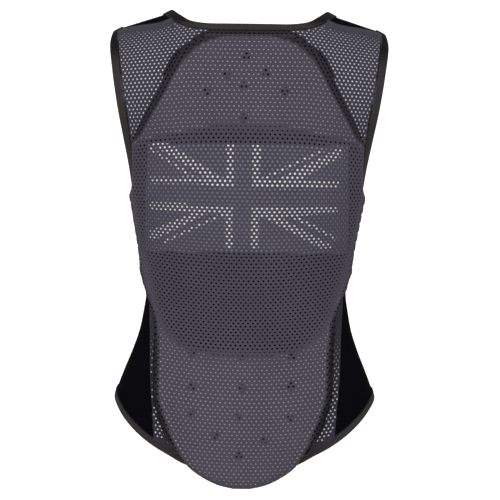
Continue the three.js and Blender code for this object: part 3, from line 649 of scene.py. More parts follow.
def shellPiece(name, angle, distance, inner, outer, attributes=None):
    # a closed wall between two lifts over a grid of places on the form
    rows, columns = angle.shape
    count = rows * columns
    low = lifted(angle, distance, inner).reshape(-1, 3)
    high = lifted(angle, distance, outer).reshape(-1, 3)
    faces = gridFaces(rows, columns, 0) + gridFaces(rows, columns, count, True)
    rim = list(range(columns - 1)) + [j * columns + columns - 1 for j in range(rows - 1)]
    rim += [(rows - 1) * columns + i for i in range(columns - 1, 0, -1)]
    rim += [j * columns for j in range(rows - 1, 0, -1)]
    for a, b in zip(rim, rim[1:] + rim[:1]):
        faces.append((b, a, count + a, count + b))
    flat = np.stack([angle.ravel() * body["backDepth"], -distance.ravel()], -1)
    both = {key: np.tile(np.asarray(value).ravel(), 2) for key, value in (attributes or {}).items()}
    piece = meshPiece(name, np.vstack([low, high]), faces, np.vstack([flat, flat]), both)
    outwards(piece)
    return piece


print("form, outlines and materials ready")


# the perforated mesh of the back

mesh = {
    "pitchAcross": 0.00603,
    "pitchDown": 0.00445,
    "holeAcross": 0.00215,    # width of a hole
    "holeDown": 0.00195,
    "padHoleDown": 0.0016,    # over the pad the holes lie flatter
    "zoneHole": 1.3,
    "ventHole": 1.4,
    "grooveShade": 0.31,      # of the cloth where it dips beside the pad
    "lowGrooveShade": 0.14,
    # painted shade of the cloth beside the pad, where it turns from the light, above and below the waist
    "sideShade": 0.76,
    "lowSideShade": 0.5,
    "sideHole": 1.24,         # beside the pad, over the white lining, the cloth is stretched
    "bandHole": 1.34,         # over the white bands they are pulled a little wider
    "bandRise": 0.0012,       # the bands lie this much above their measured corners
    "ventMargin": 0.0010,     # a dot stays this far inside its vent
    "thickness": 0.0006,
    "closedNearSeam": 0.007,  # plain knit beside the shoulder seam
    "openAfter": 0.022,
    "smile": 0.75,            # rows rise towards the sides below the waist, per metre
    "closedAtFoot": 0.0045,
    "intoSeam": 0.003,
}

arcTurns = np.linspace(0, 1.9, 96)
arcDrops = np.linspace(0, 0.72, 181)
gridTurns, gridDrops = np.meshgrid(arcTurns, arcDrops)
arcPoints = form(gridTurns, gridDrops)
arcSteps = np.linalg.norm(np.diff(arcPoints, axis=1), axis=-1)
arcLengths = np.concatenate([np.zeros((len(arcDrops), 1)), np.cumsum(arcSteps, axis=1)], axis=1)


def angleFromArc(across, distance):
    # the angle at which a row of cloth has run so far from the middle of the back
    row = np.clip(distance / arcDrops[1], 0, len(arcDrops) - 1.001)
    low = row.astype(int)
    share = (row - low)[:, None]
    lengths = arcLengths[low] * (1 - share) + arcLengths[low + 1] * share
    want = np.abs(across)[:, None]
    i = np.clip((lengths < want).sum(axis=1) - 1, 0, len(arcTurns) - 2)
    start = np.take_along_axis(lengths, i[:, None], 1)[:, 0]
    end = np.take_along_axis(lengths, i[:, None] + 1, 1)[:, 0]
    t = (np.abs(across) - start) / (end - start)
    return np.sign(across) * (arcTurns[i] + t * arcTurns[1])


def rowShift(across, distance):
    # how far a row runs off a line of equal distance from the shoulder
    level = levelAt(distance)
    rise = body["rise"] * (1 - readTable(slope, 1, np.abs(across) / body["halfWidth"]))
    fade = np.clip(1 - level / body["slopeReach"], 0, 1)
    straight = mix(1.0, 0.8, smooth((np.abs(across) - 0.06) / 0.04))
    below = smooth((level / body["height"] - 0.25) / 0.35)
    return -rise * fade * straight - mesh["smile"] * below * across ** 2


vents = {
    "radius": 0.0054,
    "places": [  # out and up from the origin, in metres
        (-0.0041, -0.0562), (-0.0298, -0.0799), (0.0227, -0.0766), (-0.0053, -0.0947),
        (-0.0547, -0.1024), (0.0477, -0.1010), (-0.0043, -0.1365), (-0.0678, -0.4419),
        (-0.0040, -0.4449), (0.0610, -0.4441), (-0.0685, -0.4848), (-0.0052, -0.4865),
        (0.0607, -0.4831), (-0.0693, -0.5212), (-0.0069, -0.5243), (0.0598, -0.5255),
        (-0.0364, -0.5486), (0.0260, -0.5524), (-0.0062, -0.5742),
    ],
}

flagBands = [  # corners of the white bands on the panel, out and up in metres
    [(-0.1281, -0.1677), (-0.1093, -0.1675), (-0.0317, -0.2156), (-0.0537, -0.2159), (-0.1254, -0.1722)],
    [(-0.1299, -0.1785), (-0.1263, -0.1762), (-0.0699, -0.2122), (-0.0731, -0.2155)],
    [(-0.1281, -0.2143), (-0.0190, -0.2147), (-0.0188, -0.2273), (-0.0665, -0.2236), (-0.1280, -0.2229)],
    [(-0.0276, -0.1713), (-0.0186, -0.1712), (-0.0178, -0.2273), (-0.0269, -0.2274)],
    [(-0.1277, -0.2472), (-0.0778, -0.2488), (-0.0778, -0.2527), (-0.0188, -0.2524),
     (-0.0186, -0.2614), (-0.0958, -0.2605), (-0.1275, -0.2562)],
    [(-0.1284, -0.2852), (-0.0725, -0.2615), (-0.0518, -0.2619), (-0.1205, -0.2968), (-0.1283, -0.2969)],
    [(-0.1114, -0.2982), (-0.0311, -0.2602), (-0.0291, -0.2635), (-0.1095, -0.3016)],
    [(-0.0282, -0.2596), (-0.0189, -0.2594), (-0.0183, -0.3068), (-0.0276, -0.3069)],
    [(0.0064, -0.2181), (0.0576, -0.2174), (0.1198, -0.2169), (0.1199, -0.2249), (0.0500, -0.2285), (0.0065, -0.2275)],
    [(0.0060, -0.1714), (0.0159, -0.1712), (0.0166, -0.2266), (0.0068, -0.2267)],
    [(0.0188, -0.2141), (0.0978, -0.1750), (0.1005, -0.1784), (0.0208, -0.2180)],
    [(0.0421, -0.2149), (0.1217, -0.1719), (0.1232, -0.1843), (0.0680, -0.2161)],
    [(0.0058, -0.2534), (0.1181, -0.2496), (0.1182, -0.2581), (0.0557, -0.2644), (0.0060, -0.2656)],
    [(0.0057, -0.2604), (0.0150, -0.2603), (0.0156, -0.3066), (0.0063, -0.3067)],
    [(0.0550, -0.2639), (0.0647, -0.2630), (0.1188, -0.2907), (0.1156, -0.2941)],
    [(0.0202, -0.2647), (0.0402, -0.2638), (0.1125, -0.3011), (0.1093, -0.3045), (0.0964, -0.3050)],
]


def inBands(x, z):
    # 1 inside a white band, 0 outside all of them
    found = np.zeros(x.shape, bool)
    z = z - mesh["bandRise"]
    for corners in flagBands:
        inside = np.zeros(x.shape, bool)
        for (x1, z1), (x2, z2) in zip(corners, corners[1:] + corners[:1]):
            crosses = (z1 > z) != (z2 > z)
            if z1 != z2:
                inside ^= crosses & (x < (x2 - x1) * (z - z1) / (z2 - z1) + x1)
        found |= inside
    return found.astype(float)


def nearVent(x, z, margin):
    # 1 over the holes of the pad, where the mesh shows them as a few wide black dots
    near = np.zeros(x.shape)
    for ventX, ventZ in vents["places"]:
        near = np.maximum(near, (np.hypot(x - ventX, z - ventZ) < vents["radius"] - margin).astype(float))
    return near


def meshLattice():
    rows = int(0.70 / mesh["pitchDown"])
    columns = int(0.235 / mesh["pitchAcross"])
    row, column = np.meshgrid(np.arange(rows), np.arange(-columns, columns + 1), indexing="ij")
    across = (column + 0.5 * (row % 2)) * mesh["pitchAcross"]
    down = row * mesh["pitchDown"] + 0.0015
    across, down = across.ravel(), down.ravel()
    shifted = down + rowShift(across, down)
    angle = angleFromArc(across, np.maximum(shifted, 0))
    point = form(angle, shifted)
    inPad = smooth((padInset(angle, shifted)) / 0.01)
    inZone = smooth(zoneInset(angle, shifted) / 0.008)
    onTop = lifted(angle, shifted, meshLift(angle, shifted))
    band = inBands(onTop[:, 0], onTop[:, 2])
    vent = nearVent(onTop[:, 0], onTop[:, 2], mesh["ventMargin"])
    width = mesh["holeAcross"] * mix(mesh["sideHole"], 1, inPad) * mix(1, mesh["bandHole"], band)
    height = mix(mesh["holeDown"], mesh["padHoleDown"], inPad * (1 - inZone)) * mix(1, mesh["bandHole"], band)
    height = mix(height * mix(mesh["sideHole"], 1, inPad), mesh["holeDown"] * mesh["ventHole"], vent)
    width = width * mix(1, mesh["ventHole"], vent) * mix(1, mesh["zoneHole"], inZone * (1 - band))
    height = height * mix(1, mesh["zoneHole"], inZone * (1 - band))
    room = shifted - backTop(angle, 0.0)
    room = np.where(np.abs(point[:, 0]) > neckBandEnd, room, 1)
    opened = smooth((room - mesh["closedNearSeam"]) / (mesh["openAfter"] - mesh["closedNearSeam"]))
    size = mix(0.25, 1, opened)
    turns = np.radians(30 + 60 * np.arange(6))
    holeAcross = across[:, None] + 0.55 * (width * size)[:, None] * np.cos(turns)
    holeDown = down[:, None] - 0.55 * (height * size)[:, None] * np.sin(turns)
    pointAcross, pointDown = holeAcross.ravel(), holeDown.ravel()
    pointShifted = pointDown + rowShift(pointAcross, pointDown)
    pointAngle = angleFromArc(pointAcross, np.maximum(pointShifted, 0))
    return rows, 2 * columns + 1, angle, shifted, opened, pointAngle, pointShifted, pointAcross, pointDown


def clampToBack(angle, distance, margin):
    # pulls places outside the cut of the back onto its edge
    for _ in range(3):
        limit = np.minimum(seamAngle(distance), armLimit(distance, margin))
        angle = np.clip(angle, -limit, limit)
        distance = np.clip(distance, backTop(angle), backBottom(angle, margin))
    return angle, distance


def backingHalf(level):
    share = level / body["height"]
    upper = body["halfWidth"] * readTable(backingOutline, 1, share)
    lower = padHalf(level) + readTable(backingRim, 1, share)
    wanted = np.where(share < 0.3, np.maximum(upper, lower), lower)
    return np.minimum(np.minimum(wanted, 0.965 * halfWidthAt(level)), armHalf(level) - 0.001)


# painted shade on the mesh: darker in the groove beside the pad, darker below the waist, and darker on the sides away
# from the pad
def clothShade(angle, distance):
    inset = np.minimum(padInset(angle, distance), lightInset(angle, distance))
    backing = insetIn(angle, distance, [(0.01, 0), padOutline[-1]], backingHalf)
    groove = smooth((backing + 0.0015) / 0.003) * (1 - smooth((inset + 0.0012) / 0.0028))
    onPad = smooth((inset + 0.002) / 0.004)
    groove = groove * smooth((backBottom(angle) - distance - 0.004) / 0.008)
    low = smooth((levelAt(distance) / body["height"] - 0.5) / 0.1)
    deep = mix(mesh["grooveShade"], mesh["lowGrooveShade"], low)
    side = mix(mesh["sideShade"], mesh["lowSideShade"], low)
    return mix(mix(side, 1, onPad), deep, groove)


def makeBackMesh():
    rows, columns, angle, distance, opened, holeAngle, holeDistance, across, down = meshLattice()
    edgeAngle, edgeDistance = clampToBack(angle, distance, mesh["intoSeam"])
    off = np.hypot((edgeAngle - angle) * 0.12, edgeDistance - distance)
    kept = (off < 1.12 * mesh["pitchAcross"]).reshape(rows, columns)
    whole = (off < 1e-6) & (opened > 0.02)
    cutAngle, cutDistance = clampToBack(holeAngle, holeDistance, mesh["intoSeam"])
    moved = np.hypot((cutAngle - holeAngle) * 0.12, cutDistance - holeDistance) > 1e-6
    isHole = whole & ~moved.reshape(-1, 6).any(axis=1) & (backBottom(angle) - distance > mesh["closedAtFoot"])
    isHole = isHole.reshape(rows, columns)

    def corner(j, i, k):
        return (j * columns + i) * 6 + k

    faces = []
    for j in range(rows):
        shift = j % 2
        for i in range(columns):
            if not kept[j, i]:
                continue
            if not isHole[j, i]:
                faces.append([corner(j, i, k) for k in range(6)])
            right = i + 1 < columns and kept[j, i + 1]
            ur, ul = i + shift, i + shift - 1
            upperRight = j > 0 and ur < columns and kept[j - 1, ur]
            upperLeft = j > 0 and ul >= 0 and kept[j - 1, ul]
            if right:
                faces.append([corner(j, i, 5), corner(j, i + 1, 3), corner(j, i + 1, 2), corner(j, i, 0)])
            if upperRight:
                faces.append([corner(j, i, 0), corner(j - 1, ur, 4), corner(j - 1, ur, 3), corner(j, i, 1)])
            if upperLeft:
                faces.append([corner(j, i, 1), corner(j - 1, ul, 5), corner(j - 1, ul, 4), corner(j, i, 2)])
            if right and upperRight:
                faces.append([corner(j, i, 0), corner(j, i + 1, 2), corner(j - 1, ur, 4)])
            if upperRight and upperLeft:
                faces.append([corner(j, i, 1), corner(j - 1, ur, 3), corner(j - 1, ul, 5)])
    lift = meshLift(cutAngle, cutDistance)
    lift = curledLift(cutAngle, cutDistance, lift + mesh["thickness"])
    points = lifted(cutAngle, cutDistance, lift)
    piece = meshPiece("meshBack", points, faces, np.stack([across, -down], -1),
                      {"shade": clothShade(cutAngle, cutDistance)})
    activate(piece)
    bpy.ops.object.mode_set(mode="EDIT")
    bpy.ops.mesh.select_all(action="SELECT")
    bpy.ops.mesh.remove_doubles(threshold=0.00004)
    bpy.ops.mesh.dissolve_degenerate(threshold=0.00004)
    bpy.ops.mesh.delete_loose(use_verts=True, use_edges=True, use_faces=False)
    bpy.ops.mesh.select_all(action="SELECT")
    bpy.ops.mesh.normals_make_consistent(inside=False)
    bpy.ops.object.mode_set(mode="OBJECT")
    lookBack(piece)
    bpy.ops.object.modifier_add(type="SOLIDIFY")
    piece.modifiers["Solidify"].thickness = mesh["thickness"]
    piece.modifiers["Solidify"].offset = -1
    bpy.ops.object.modifier_apply(modifier="Solidify")
    return finishPiece(piece, meshKnit, "back_mesh", 50)


def lookBack(piece):
    # an open sheet has no inside, so its faces are turned to look away from the wearer
    normals = np.array([p.normal for p in piece.data.polygons])
    centres = np.array([p.center for p in piece.data.polygons])
    if (normals[:, 1] * np.sign(centres[:, 1] - 0.03)).sum() < 0:
        piece.data.flip_normals()


meshBack = makeBackMesh()
print("mesh back:", len(meshBack.data.polygons), "faces")


# lining, backing, pad, black zone and flag panel under the mesh


def backGrid(columns, rows, top, bottom, margin):
    turn, share = np.meshgrid(np.linspace(-1, 1, columns), np.linspace(0, 1, rows))
    angle, distance = turn.copy(), np.full(turn.shape, 0.3)
    for _ in range(8):
        limit = np.minimum(seamAngle(distance), armLimit(distance, margin))
        angle = turn * limit
        distance = mix(top(angle), bottom(angle), share)
    return angle, distance


lining = {
    "columns": 90, "rows": 150, "setback": 0.001, "intoHem": 0.002,
    # it lies in shade where the mesh stands off it beside the pad: share of the height and shade
    "shade": [(0.4, 1), (0.5, 0.35), (0.6, 0.12), (0.67, 0.2), (0.71, 0.45), (0.76, 0.85), (0.84, 1), (1, 1)],
}
angle, distance = backGrid(
    lining["columns"], lining["rows"],
    lambda a: backTop(a) + lining["setback"],
    lambda a: hemDistance(a, hem["width"] - lining["intoHem"]), 0.002)
liningPiece = shellPiece("liningBack", angle, distance, np.full(angle.shape, layers["linings"][0]),
                         np.full(angle.shape, layers["linings"][1]),
                         {"shade": readTable(lining["shade"], 1, levelAt(distance) / body["height"])})
finishPiece(liningPiece, liningKnit, "back_lining")


def layerGrid(columns, rows, first, last, halfWidth, ends=0.0):
    # a layer between two levels; ends brings the first and last rows closer together
    turn = np.linspace(-1, 1, columns)
    turn = mix(turn, np.sin(turn * math.pi / 2), 0.5)
    share = np.linspace(0, 1, rows)
    share = mix(share, 0.5 - 0.5 * np.cos(share * math.pi), ends)
    turn, share = np.meshgrid(turn, share)
    depth = mix(first, last, share)
    half = halfWidth(depth)
    limit = placeOf(half, -depth, -1)[0]
    angle = turn * limit + padTurn(depth)
    distance = placeOf(turn * half, -depth, -1)[1]
    return angle, distance


def outlineEnds(outline):
    return outline[0][0] * body["height"], outline[-1][0] * body["height"]


padFirst, padLast = outlineEnds(padOutline)
zoneFirst, zoneLast = outlineEnds(zoneOutline)


angle, distance = layerGrid(110, 150, 0.014, padLast, backingHalf, 0.6)
backingHigh = layers["backing"][1] - layers["backing"][0]
raised = smooth(-padInset(angle, distance) / 0.003)
backingLift = mix(layers["backing"][1], np.maximum(meshLift(angle, distance) - 0.0003, 0.0024), raised)
backingPiece = shellPiece("padBacking", angle, distance, backingLift - backingHigh * mix(1, 0.15, raised),
                          backingLift)
finishPiece(backingPiece, backingKnit, "pad_backing")


def underMesh(angle, distance):
    top = curledLift(angle, distance, meshLift(angle, distance) + mesh["thickness"])
    return top - mesh["thickness"] - layers["underMesh"]


def makePad():
    angle, distance = layerGrid(110, 190, padFirst, padLast, padHalf, 0.7)
    zone = smooth((zoneInset(angle, distance) + 0.004) / 0.006)
    room = underMesh(angle, distance) - zone * 0.0062 - layers["padBase"]
    shape = np.sqrt(1 - (1 - np.clip(padInset(angle, distance) / layers["padRamp"], 0, 1)) ** 2)
    height = np.minimum(mix(layers["padEdge"], room, shape), room)
    height = np.maximum(height, 0.002)
    low = np.full(angle.shape, layers["padBase"])
    # the rim darkens the foam towards the black zone, and as painted shade along the bevelled edge outside the pale
    # top
    piece = shellPiece("padMain", angle, distance, low, low + height, {
        "rim": np.maximum(zoneInset(angle, distance), 0.002 - 4 * lightInset(angle, distance))})
    for number, (x, z) in enumerate(vents["places"]):
        bpy.ops.object.select_all(action="DESELECT")
        bpy.ops.mesh.primitive_cylinder_add(vertices=20, radius=vents["radius"], depth=0.2,
                                            location=(x, -0.1, z), rotation=(math.pi / 2, 0, 0))
        drill = bpy.context.object
        activate(piece)
        bpy.ops.object.modifier_add(type="BOOLEAN")
        piece.modifiers["Boolean"].object = drill
        piece.modifiers["Boolean"].solver = "EXACT"
        bpy.ops.object.modifier_apply(modifier="Boolean")
        bpy.data.objects.remove(drill)
    # painted shade: the foam round each vent is given the darkest rim, so the vent walls look dark
    rim = piece.data.attributes["rim"]
    for vert in piece.data.vertices:
        for x, z in vents["places"]:
            if math.hypot(vert.co.x - x, vert.co.z - z) < 1.1 * vents["radius"]:
                rim.data[vert.index].value = 0.01
    return finishPiece(piece, padFoam, "pad_main")


padMain = makePad()
print("pad:", len(padMain.data.polygons), "faces")

flag = {"thickness": 0.0007, "top": 0.1705, "bottom": 0.3065, "halfWidth": 0.1185,
        "rise": 0.008, "columns": 230, "rows": 130}

angle, distance = layerGrid(100, 110, zoneFirst, zoneLast, zoneHalf, 0.5)
over = underMesh(angle, distance) - flag["thickness"] - 0.0003
lowest = over - 0.0045
zonePiece = shellPiece("padZone", angle, distance, lowest, over, {"rim": zoneInset(angle, distance)})
finishPiece(zonePiece, zoneFoam, "pad_centre")


def flagMaterial():
    material, tree, shader = newMaterial("flag_print", 0.7, 0.05)
    mark = nodeOf(tree, "Attribute", attribute_name="band")
    ground = ramp(tree, ribs(tree, 900, 900), [(0.2, (0.15, 0.165, 0.2)), (0.8, (0.26, 0.28, 0.33))])
    white = nodeOf(tree, "Mix", data_type="RGBA")
    tree.links.new(mark.outputs["Fac"], white.inputs["Factor"])
    tree.links.new(ground, white.inputs[6])
    white.inputs[7].default_value = (1, 1, 1, 1)
    tree.links.new(white.outputs[2], shader.inputs["Base Color"])
    return material


angle, distance = layerGrid(flag["columns"], flag["rows"], flag["top"], flag["bottom"],
                            lambda level: 0 * level + flag["halfWidth"])
bow = np.linspace(-1, 1, flag["columns"]) ** 2 * np.linspace(1, 0, flag["rows"])[:, None]
distance = distance - flag["rise"] * bow
over = underMesh(angle, distance)
place = lifted(angle, distance, over)
flagPiece = shellPiece("flagPanel", angle, distance, over - flag["thickness"], over,
                       {"band": inBands(place[..., 0], place[..., 2])})
finishPiece(flagPiece, flagMaterial(), "flag_panel")
print("layers under the mesh ready")


# ribbed bindings, folded over the edges of the neck, the armholes and the hem


def curveThrough(points, closed, count):
    # a centripetal Catmull-Rom curve, read at even steps of its parameter
    points = np.asarray(points, float)
    if closed:
        ring = np.vstack([points[-1], points, points[0], points[1]])
        spans = len(points)
    else:
        ring = np.vstack([2 * points[0] - points[1], points, 2 * points[-1] - points[-2]])
        spans = len(points) - 1
    place = np.arange(count if closed else count + 1) / count * spans
    i = np.minimum(place.astype(int), spans - 1)
    t = (place - i)[:, None]
    p0, p1, p2, p3 = ring[i], ring[i + 1], ring[i + 2], ring[i + 3]

    def gap(a, b):
        return np.maximum(np.linalg.norm(b - a, axis=1, keepdims=True) ** 0.5, 1e-6)

    d0, d1, d2 = gap(p0, p1), gap(p1, p2), gap(p2, p3)
    m1 = ((p1 - p0) / d0 - (p2 - p0) / (d0 + d1) + (p2 - p1) / d1) * d1
    m2 = ((p2 - p1) / d1 - (p3 - p1) / (d1 + d2) + (p3 - p2) / d2) * d1
    return p1 + m1 * t + (3 * (p2 - p1) - 2 * m1 - m2) * t ** 2 + (2 * (p1 - p2) + m1 + m2) * t ** 3


def stationLine(stations, closed, count):
    edges, sewn, normals = [], [], []
    for side, edgeOut, edgeHeight, sewnOut, sewnHeight in stations:
        for out, height, kept in ((edgeOut, edgeHeight, edges), (sewnOut, sewnHeight, sewn)):
            x = out * body["halfWidth"]
            z = slopeHeight(x) if side == 0 else height * body["height"]
            angle, distance = placeOf(x, z, side if side else -1)
            kept.append(form(angle, distance))
        normals.append(normalOf(angle, distance))
    normals = curveThrough(normals, closed, count)
    normals /= np.linalg.norm(normals, axis=1, keepdims=True)
    return curveThrough(edges, closed, count), curveThrough(sewn, closed, count), normals


def mirrorLine(line):
    return tuple(part * (-1, 1, 1) for part in line)


binding = {
    "inner": -0.0009,
    "outer": 0.0042,
    "stitchInset": 0.16,      # from the sewn edge, as a share of the width
    "stitchLength": 0.0027,
    "stitchStep": 0.0037,
    "stitchRadius": 0.00032,
    "seamShade": 0.8,         # painted shade: the sewn edge is darkened, and so is the top of an armhole
    "topShade": 0.95,
    "topFrom": (-0.07, 0.035),    # height and depth of the change, for an armhole
    "neckFrom": (-0.014, 0.012),
}
# a rounded fold: share of the width from the free edge, and share of the thickness
foldProfile = [
    (0.0, 0.5), (0.008, 0.66), (0.03, 0.83), (0.08, 0.95), (0.16, 1.0), (0.4, 1.0), (0.62, 0.985),
    (0.78, 0.94), (0.84, 0.88), (0.9, 0.92), (0.965, 0.88), (1.0, 0.62), (1.0, 0.35), (0.965, 0.1),
    (0.9, 0.04), (0.6, 0.0), (0.16, 0.0), (0.08, 0.05), (0.03, 0.17), (0.008, 0.34),
]


def bandPiece(name, line, closed, inner=None, outer=None):
    edges, sewn, normals = line
    inner = np.full(len(edges), binding["inner"]) if inner is None else inner
    outer = np.full(len(edges), binding["outer"]) if outer is None else outer
    sides = len(foldProfile)
    across = np.array([p[0] for p in foldProfile])[None, :, None]
    lift = np.array([p[1] for p in foldProfile])[None, :]
    points = edges[:, None] * (1 - across) + sewn[:, None] * across
    points = points + normals[:, None] * mix(inner[:, None], outer[:, None], lift)[..., None]
    along = np.concatenate([[0], np.cumsum(np.linalg.norm(np.diff((edges + sewn) / 2, axis=0), axis=1))])
    girth = np.concatenate([[0], np.cumsum(np.linalg.norm(np.diff(points[0], axis=0), axis=1))])
    flat = np.stack(np.broadcast_arrays(along[:, None], girth[None, :]), -1).reshape(-1, 2)
    faces = []
    count = len(edges)
    for k in range(count if closed else count - 1):
        n = (k + 1) % count
        for i in range(sides):
            j = (i + 1) % sides
            faces.append((k * sides + i, k * sides + j, n * sides + j, n * sides + i))
    if not closed:
        faces.append(tuple(range(sides))[::-1])
        faces.append(tuple((count - 1) * sides + i for i in range(sides)))
    # painted shade: darker along the sewn edge, towards the top of an armhole, and where the neck binding rises to the
    # shoulder line
    seam = 1 - binding["seamShade"] * smooth((across[..., 0] - 0.84) / 0.1)
    height = points[..., 2]
    start, reach = binding["topFrom"] if closed else binding["neckFrom"]
    top = 1 - binding["topShade"] * smooth((height - start) / reach)
    piece = meshPiece(name, points.reshape(-1, 3), faces, flat, {"shade": (seam * top).ravel()})
    outwards(piece)
    return piece, float(along[-1])


def stitchRow(name, line, share, lift, closed=True, step=None):
    # a row of short thread stitches along a binding
    edges, sewn, normals = line
    path = edges * (1 - share) + sewn * share + normals * lift
    if closed:
        path, normals = np.vstack([path, path[:1]]), np.vstack([normals, normals[:1]])
    along = np.concatenate([[0], np.cumsum(np.linalg.norm(np.diff(path, axis=0), axis=1))])
    step = step or binding["stitchStep"]
    middles = np.arange(step, along[-1] - step, step)
    half = binding["stitchLength"] / 2

    def at(lengths, values):
        return np.stack([np.interp(lengths, along, values[:, k]) for k in range(3)], -1)

    points, faces = [], []
    for aside, sink in ((-1, 0.9), (-0.55, 0.1), (0, -0.25), (0.55, 0.1), (1, 0.9)):
        centre = at(middles + aside * half, path)
        normal = at(middles, normals)
        ahead = at(middles + half, path) - at(middles - half, path)
        ahead /= np.linalg.norm(ahead, axis=1, keepdims=True)
        side = np.cross(ahead, normal)
        radius = binding["stitchRadius"] * (0.45 if abs(aside) == 1 else 1)
        centre = centre - normal * sink * binding["stitchRadius"] * 1.6
        for turn in np.radians((45, 135, 225, 315)):
            points.append(centre + radius * (side * math.cos(turn) + normal * math.sin(turn)))
    grid = np.stack(points, 1)
    for k in range(len(middles)):
        base = k * 20
        for ring in range(4):
            for i in range(4):
                a, b = base + ring * 4 + i, base + ring * 4 + (i + 1) % 4
                faces.append((a, b, b + 4, a + 4))
        faces.append((base + 3, base + 2, base + 1, base))
        faces.append((base + 16, base + 17, base + 18, base + 19))
    flat = np.tile(np.linspace(0, 0.002, 20)[:, None], (len(middles), 2))
    piece = meshPiece(name, grid.reshape(-1, 3), faces, flat)
    outwards(piece)
    return finishPiece(piece, thread, None, 60)


def finishBand(piece, node):
    finishPiece(piece, rib, node, 50)


neckHalf = stationLine(neckStations, False, 90)
neckLine = tuple(np.vstack([half, (half * (-1, 1, 1))[::-1][1:]]) for half in neckHalf)
neckPiece, neckLength = bandPiece("neckBinding", neckLine, False)
finishBand(neckPiece, "neck_binding")
stitchRow("neckStitches", neckLine, 1 - binding["stitchInset"], binding["outer"] * 0.9, False)

armLine = stationLine(armStations, True, 180)
for sideName, line in (("Right", armLine), ("Left", mirrorLine(armLine))):
    piece, length = bandPiece("armholeBinding" + sideName, line, True)
    finishBand(piece, "armhole_binding_" + sideName.lower())
    stitchRow("armholeStitches" + sideName, line, 1 - binding["stitchInset"], binding["outer"] * 0.9)

front = {"zipHalfWidth": 0.017, "teethHalfWidth": 0.003, "top": 0.094, "foot": 0.828, "seam": math.radians(124)}
panels = {"top": 0.27, "foot": 0.89, "seamGap": 0.0006, "overlap": 0.0004}


def frontTurn(halfWidth, distance):
    return angleOut(halfWidth, levelAt(np.abs(distance)))


hemEnd = math.pi - float(frontTurn(front["zipHalfWidth"], distanceAt(front["foot"] * body["height"])))


def hemLineOf(count):
    turns = np.linspace(-hemEnd, hemEnd, count + 1)
    edge = form(turns, hemDistance(turns))
    sewn = form(turns, hemDistance(turns, hem["width"]))
    normal = normalOf(turns, hemDistance(turns, hem["width"]))
    tuck = hem["tuck"] * (1 - smooth((np.abs(edge[:, 0]) - 1.05 * hem["tongueHalfWidth"]) / 0.024))
    return (edge, sewn, normal), tuck


hemLine, hemTuck = hemLineOf(300)
hemPiece, hemLength = bandPiece("hemBinding", hemLine, False, binding["inner"] - hemTuck, binding["outer"] - hemTuck)
finishBand(hemPiece, "hem_binding")
tucked = (hemLine[0], hemLine[1] - hemLine[2] * hemTuck[:, None], hemLine[2])
stitchRow("hemStitches", tucked, 1 - binding["stitchInset"], binding["outer"] * 0.9, False)
print("bindings and stitches ready")


# stretch panels of the sides and the front, cut to the openings


def plugPiece(name, line, innerTip, outerTip, reach, gap=0.0):
    edges, sewn, normals = line
    out = sewn - edges
    out /= np.linalg.norm(out, axis=1, keepdims=True)
    wall = sewn + out * gap
    ring = np.stack([wall - normals * reach, wall + normals * reach], 1).reshape(-1, 3)
    tip = len(ring)
    faces = []
    for k in range(len(edges)):
        a, b = 2 * k, 2 * k + 1
        d, c = 2 * ((k + 1) % len(edges)), 2 * ((k + 1) % len(edges)) + 1
        faces += [(a, d, c, b), (tip, a, d)[::-1], (tip + 1, b, c)]
    piece = meshPiece(name, np.vstack([ring, [innerTip, outerTip]]), faces)
    outwards(piece)
    return piece


def thinned(line, step):
    return tuple(part[::step] for part in line)


height, half, deep = body["height"], body["halfWidth"], body["backDepth"]
cuts = [
    plugPiece("neckCut", thinned(neckLine, 3), (0, 0, -0.11 * height),
              (0, 0.1 * deep, 0.25 * height), 0.016, -0.003),
    plugPiece("armCutRight", thinned(armLine, 4), (0.45 * half, 0, -0.17 * height),
              (2.1 * half, 0, -0.16 * height), 0.024, -0.003),
    plugPiece("hemCut", thinned(hemLine, 5), (0, 0, -0.75 * height),
              (0, 0, -3.75 * height), 0.009, -0.0075),
]


def cutOpenings(piece):
    for cut in cuts:
        activate(piece)
        bpy.ops.object.modifier_add(type="BOOLEAN")
        piece.modifiers["Boolean"].object = cut
        piece.modifiers["Boolean"].solver = "EXACT"
        bpy.ops.object.modifier_apply(modifier="Boolean")
    keepLargest(piece)


def keepLargest(piece):
    # a cut can leave a loose scrap beyond the opening
    work = bmesh.new()
    work.from_mesh(piece.data)
    left, groups = set(work.verts), []
    while left:
        group, stack = set(), [left.pop()]
        while stack:
            vert = stack.pop()
            group.add(vert)
            for edge in vert.link_edges:
                other = edge.other_vert(vert)
                if other in left:
                    left.discard(other)
                    stack.append(other)
        groups.append(group)
    largest = max(groups, key=len)
    bmesh.ops.delete(work, geom=[v for g in groups if g is not largest for v in g], context="VERTS")
    work.to_mesh(piece.data)
    work.free()


def mirroredPiece(piece, name):
    copy = piece.copy()
    copy.data = piece.data.copy()
    copy.name = copy.data.name = name
    bpy.context.scene.collection.objects.link(copy)
    copy.data.transform(Matrix.Scale(-1, 4, (1, 0, 0)))
    copy.data.flip_normals()
    return copy


def panelShell(name, angle, distance, thickness=None):
    low, high = layers["panels"]
    high = low + thickness if thickness else high
    piece = shellPiece(name, angle, distance, np.full(angle.shape, low), np.full(angle.shape, high))
    cutOpenings(piece)
    return piece


u, v = np.meshgrid(np.linspace(0, 1, 40), np.linspace(0, 1, 110))
distance = distanceAt(mix(panels["top"], panels["foot"], v) * body["height"])
seamTurn = panels["seamGap"] / body["backDepth"]
lapTurn = panels["overlap"] / body["backDepth"]
angle = mix(seamAngle(distance) + seamTurn, front["seam"] + lapTurn, u)
sideRight = panelShell("sidePanelRight", angle, distance)
sideLeft = mirroredPiece(sideRight, "sidePanelLeft")

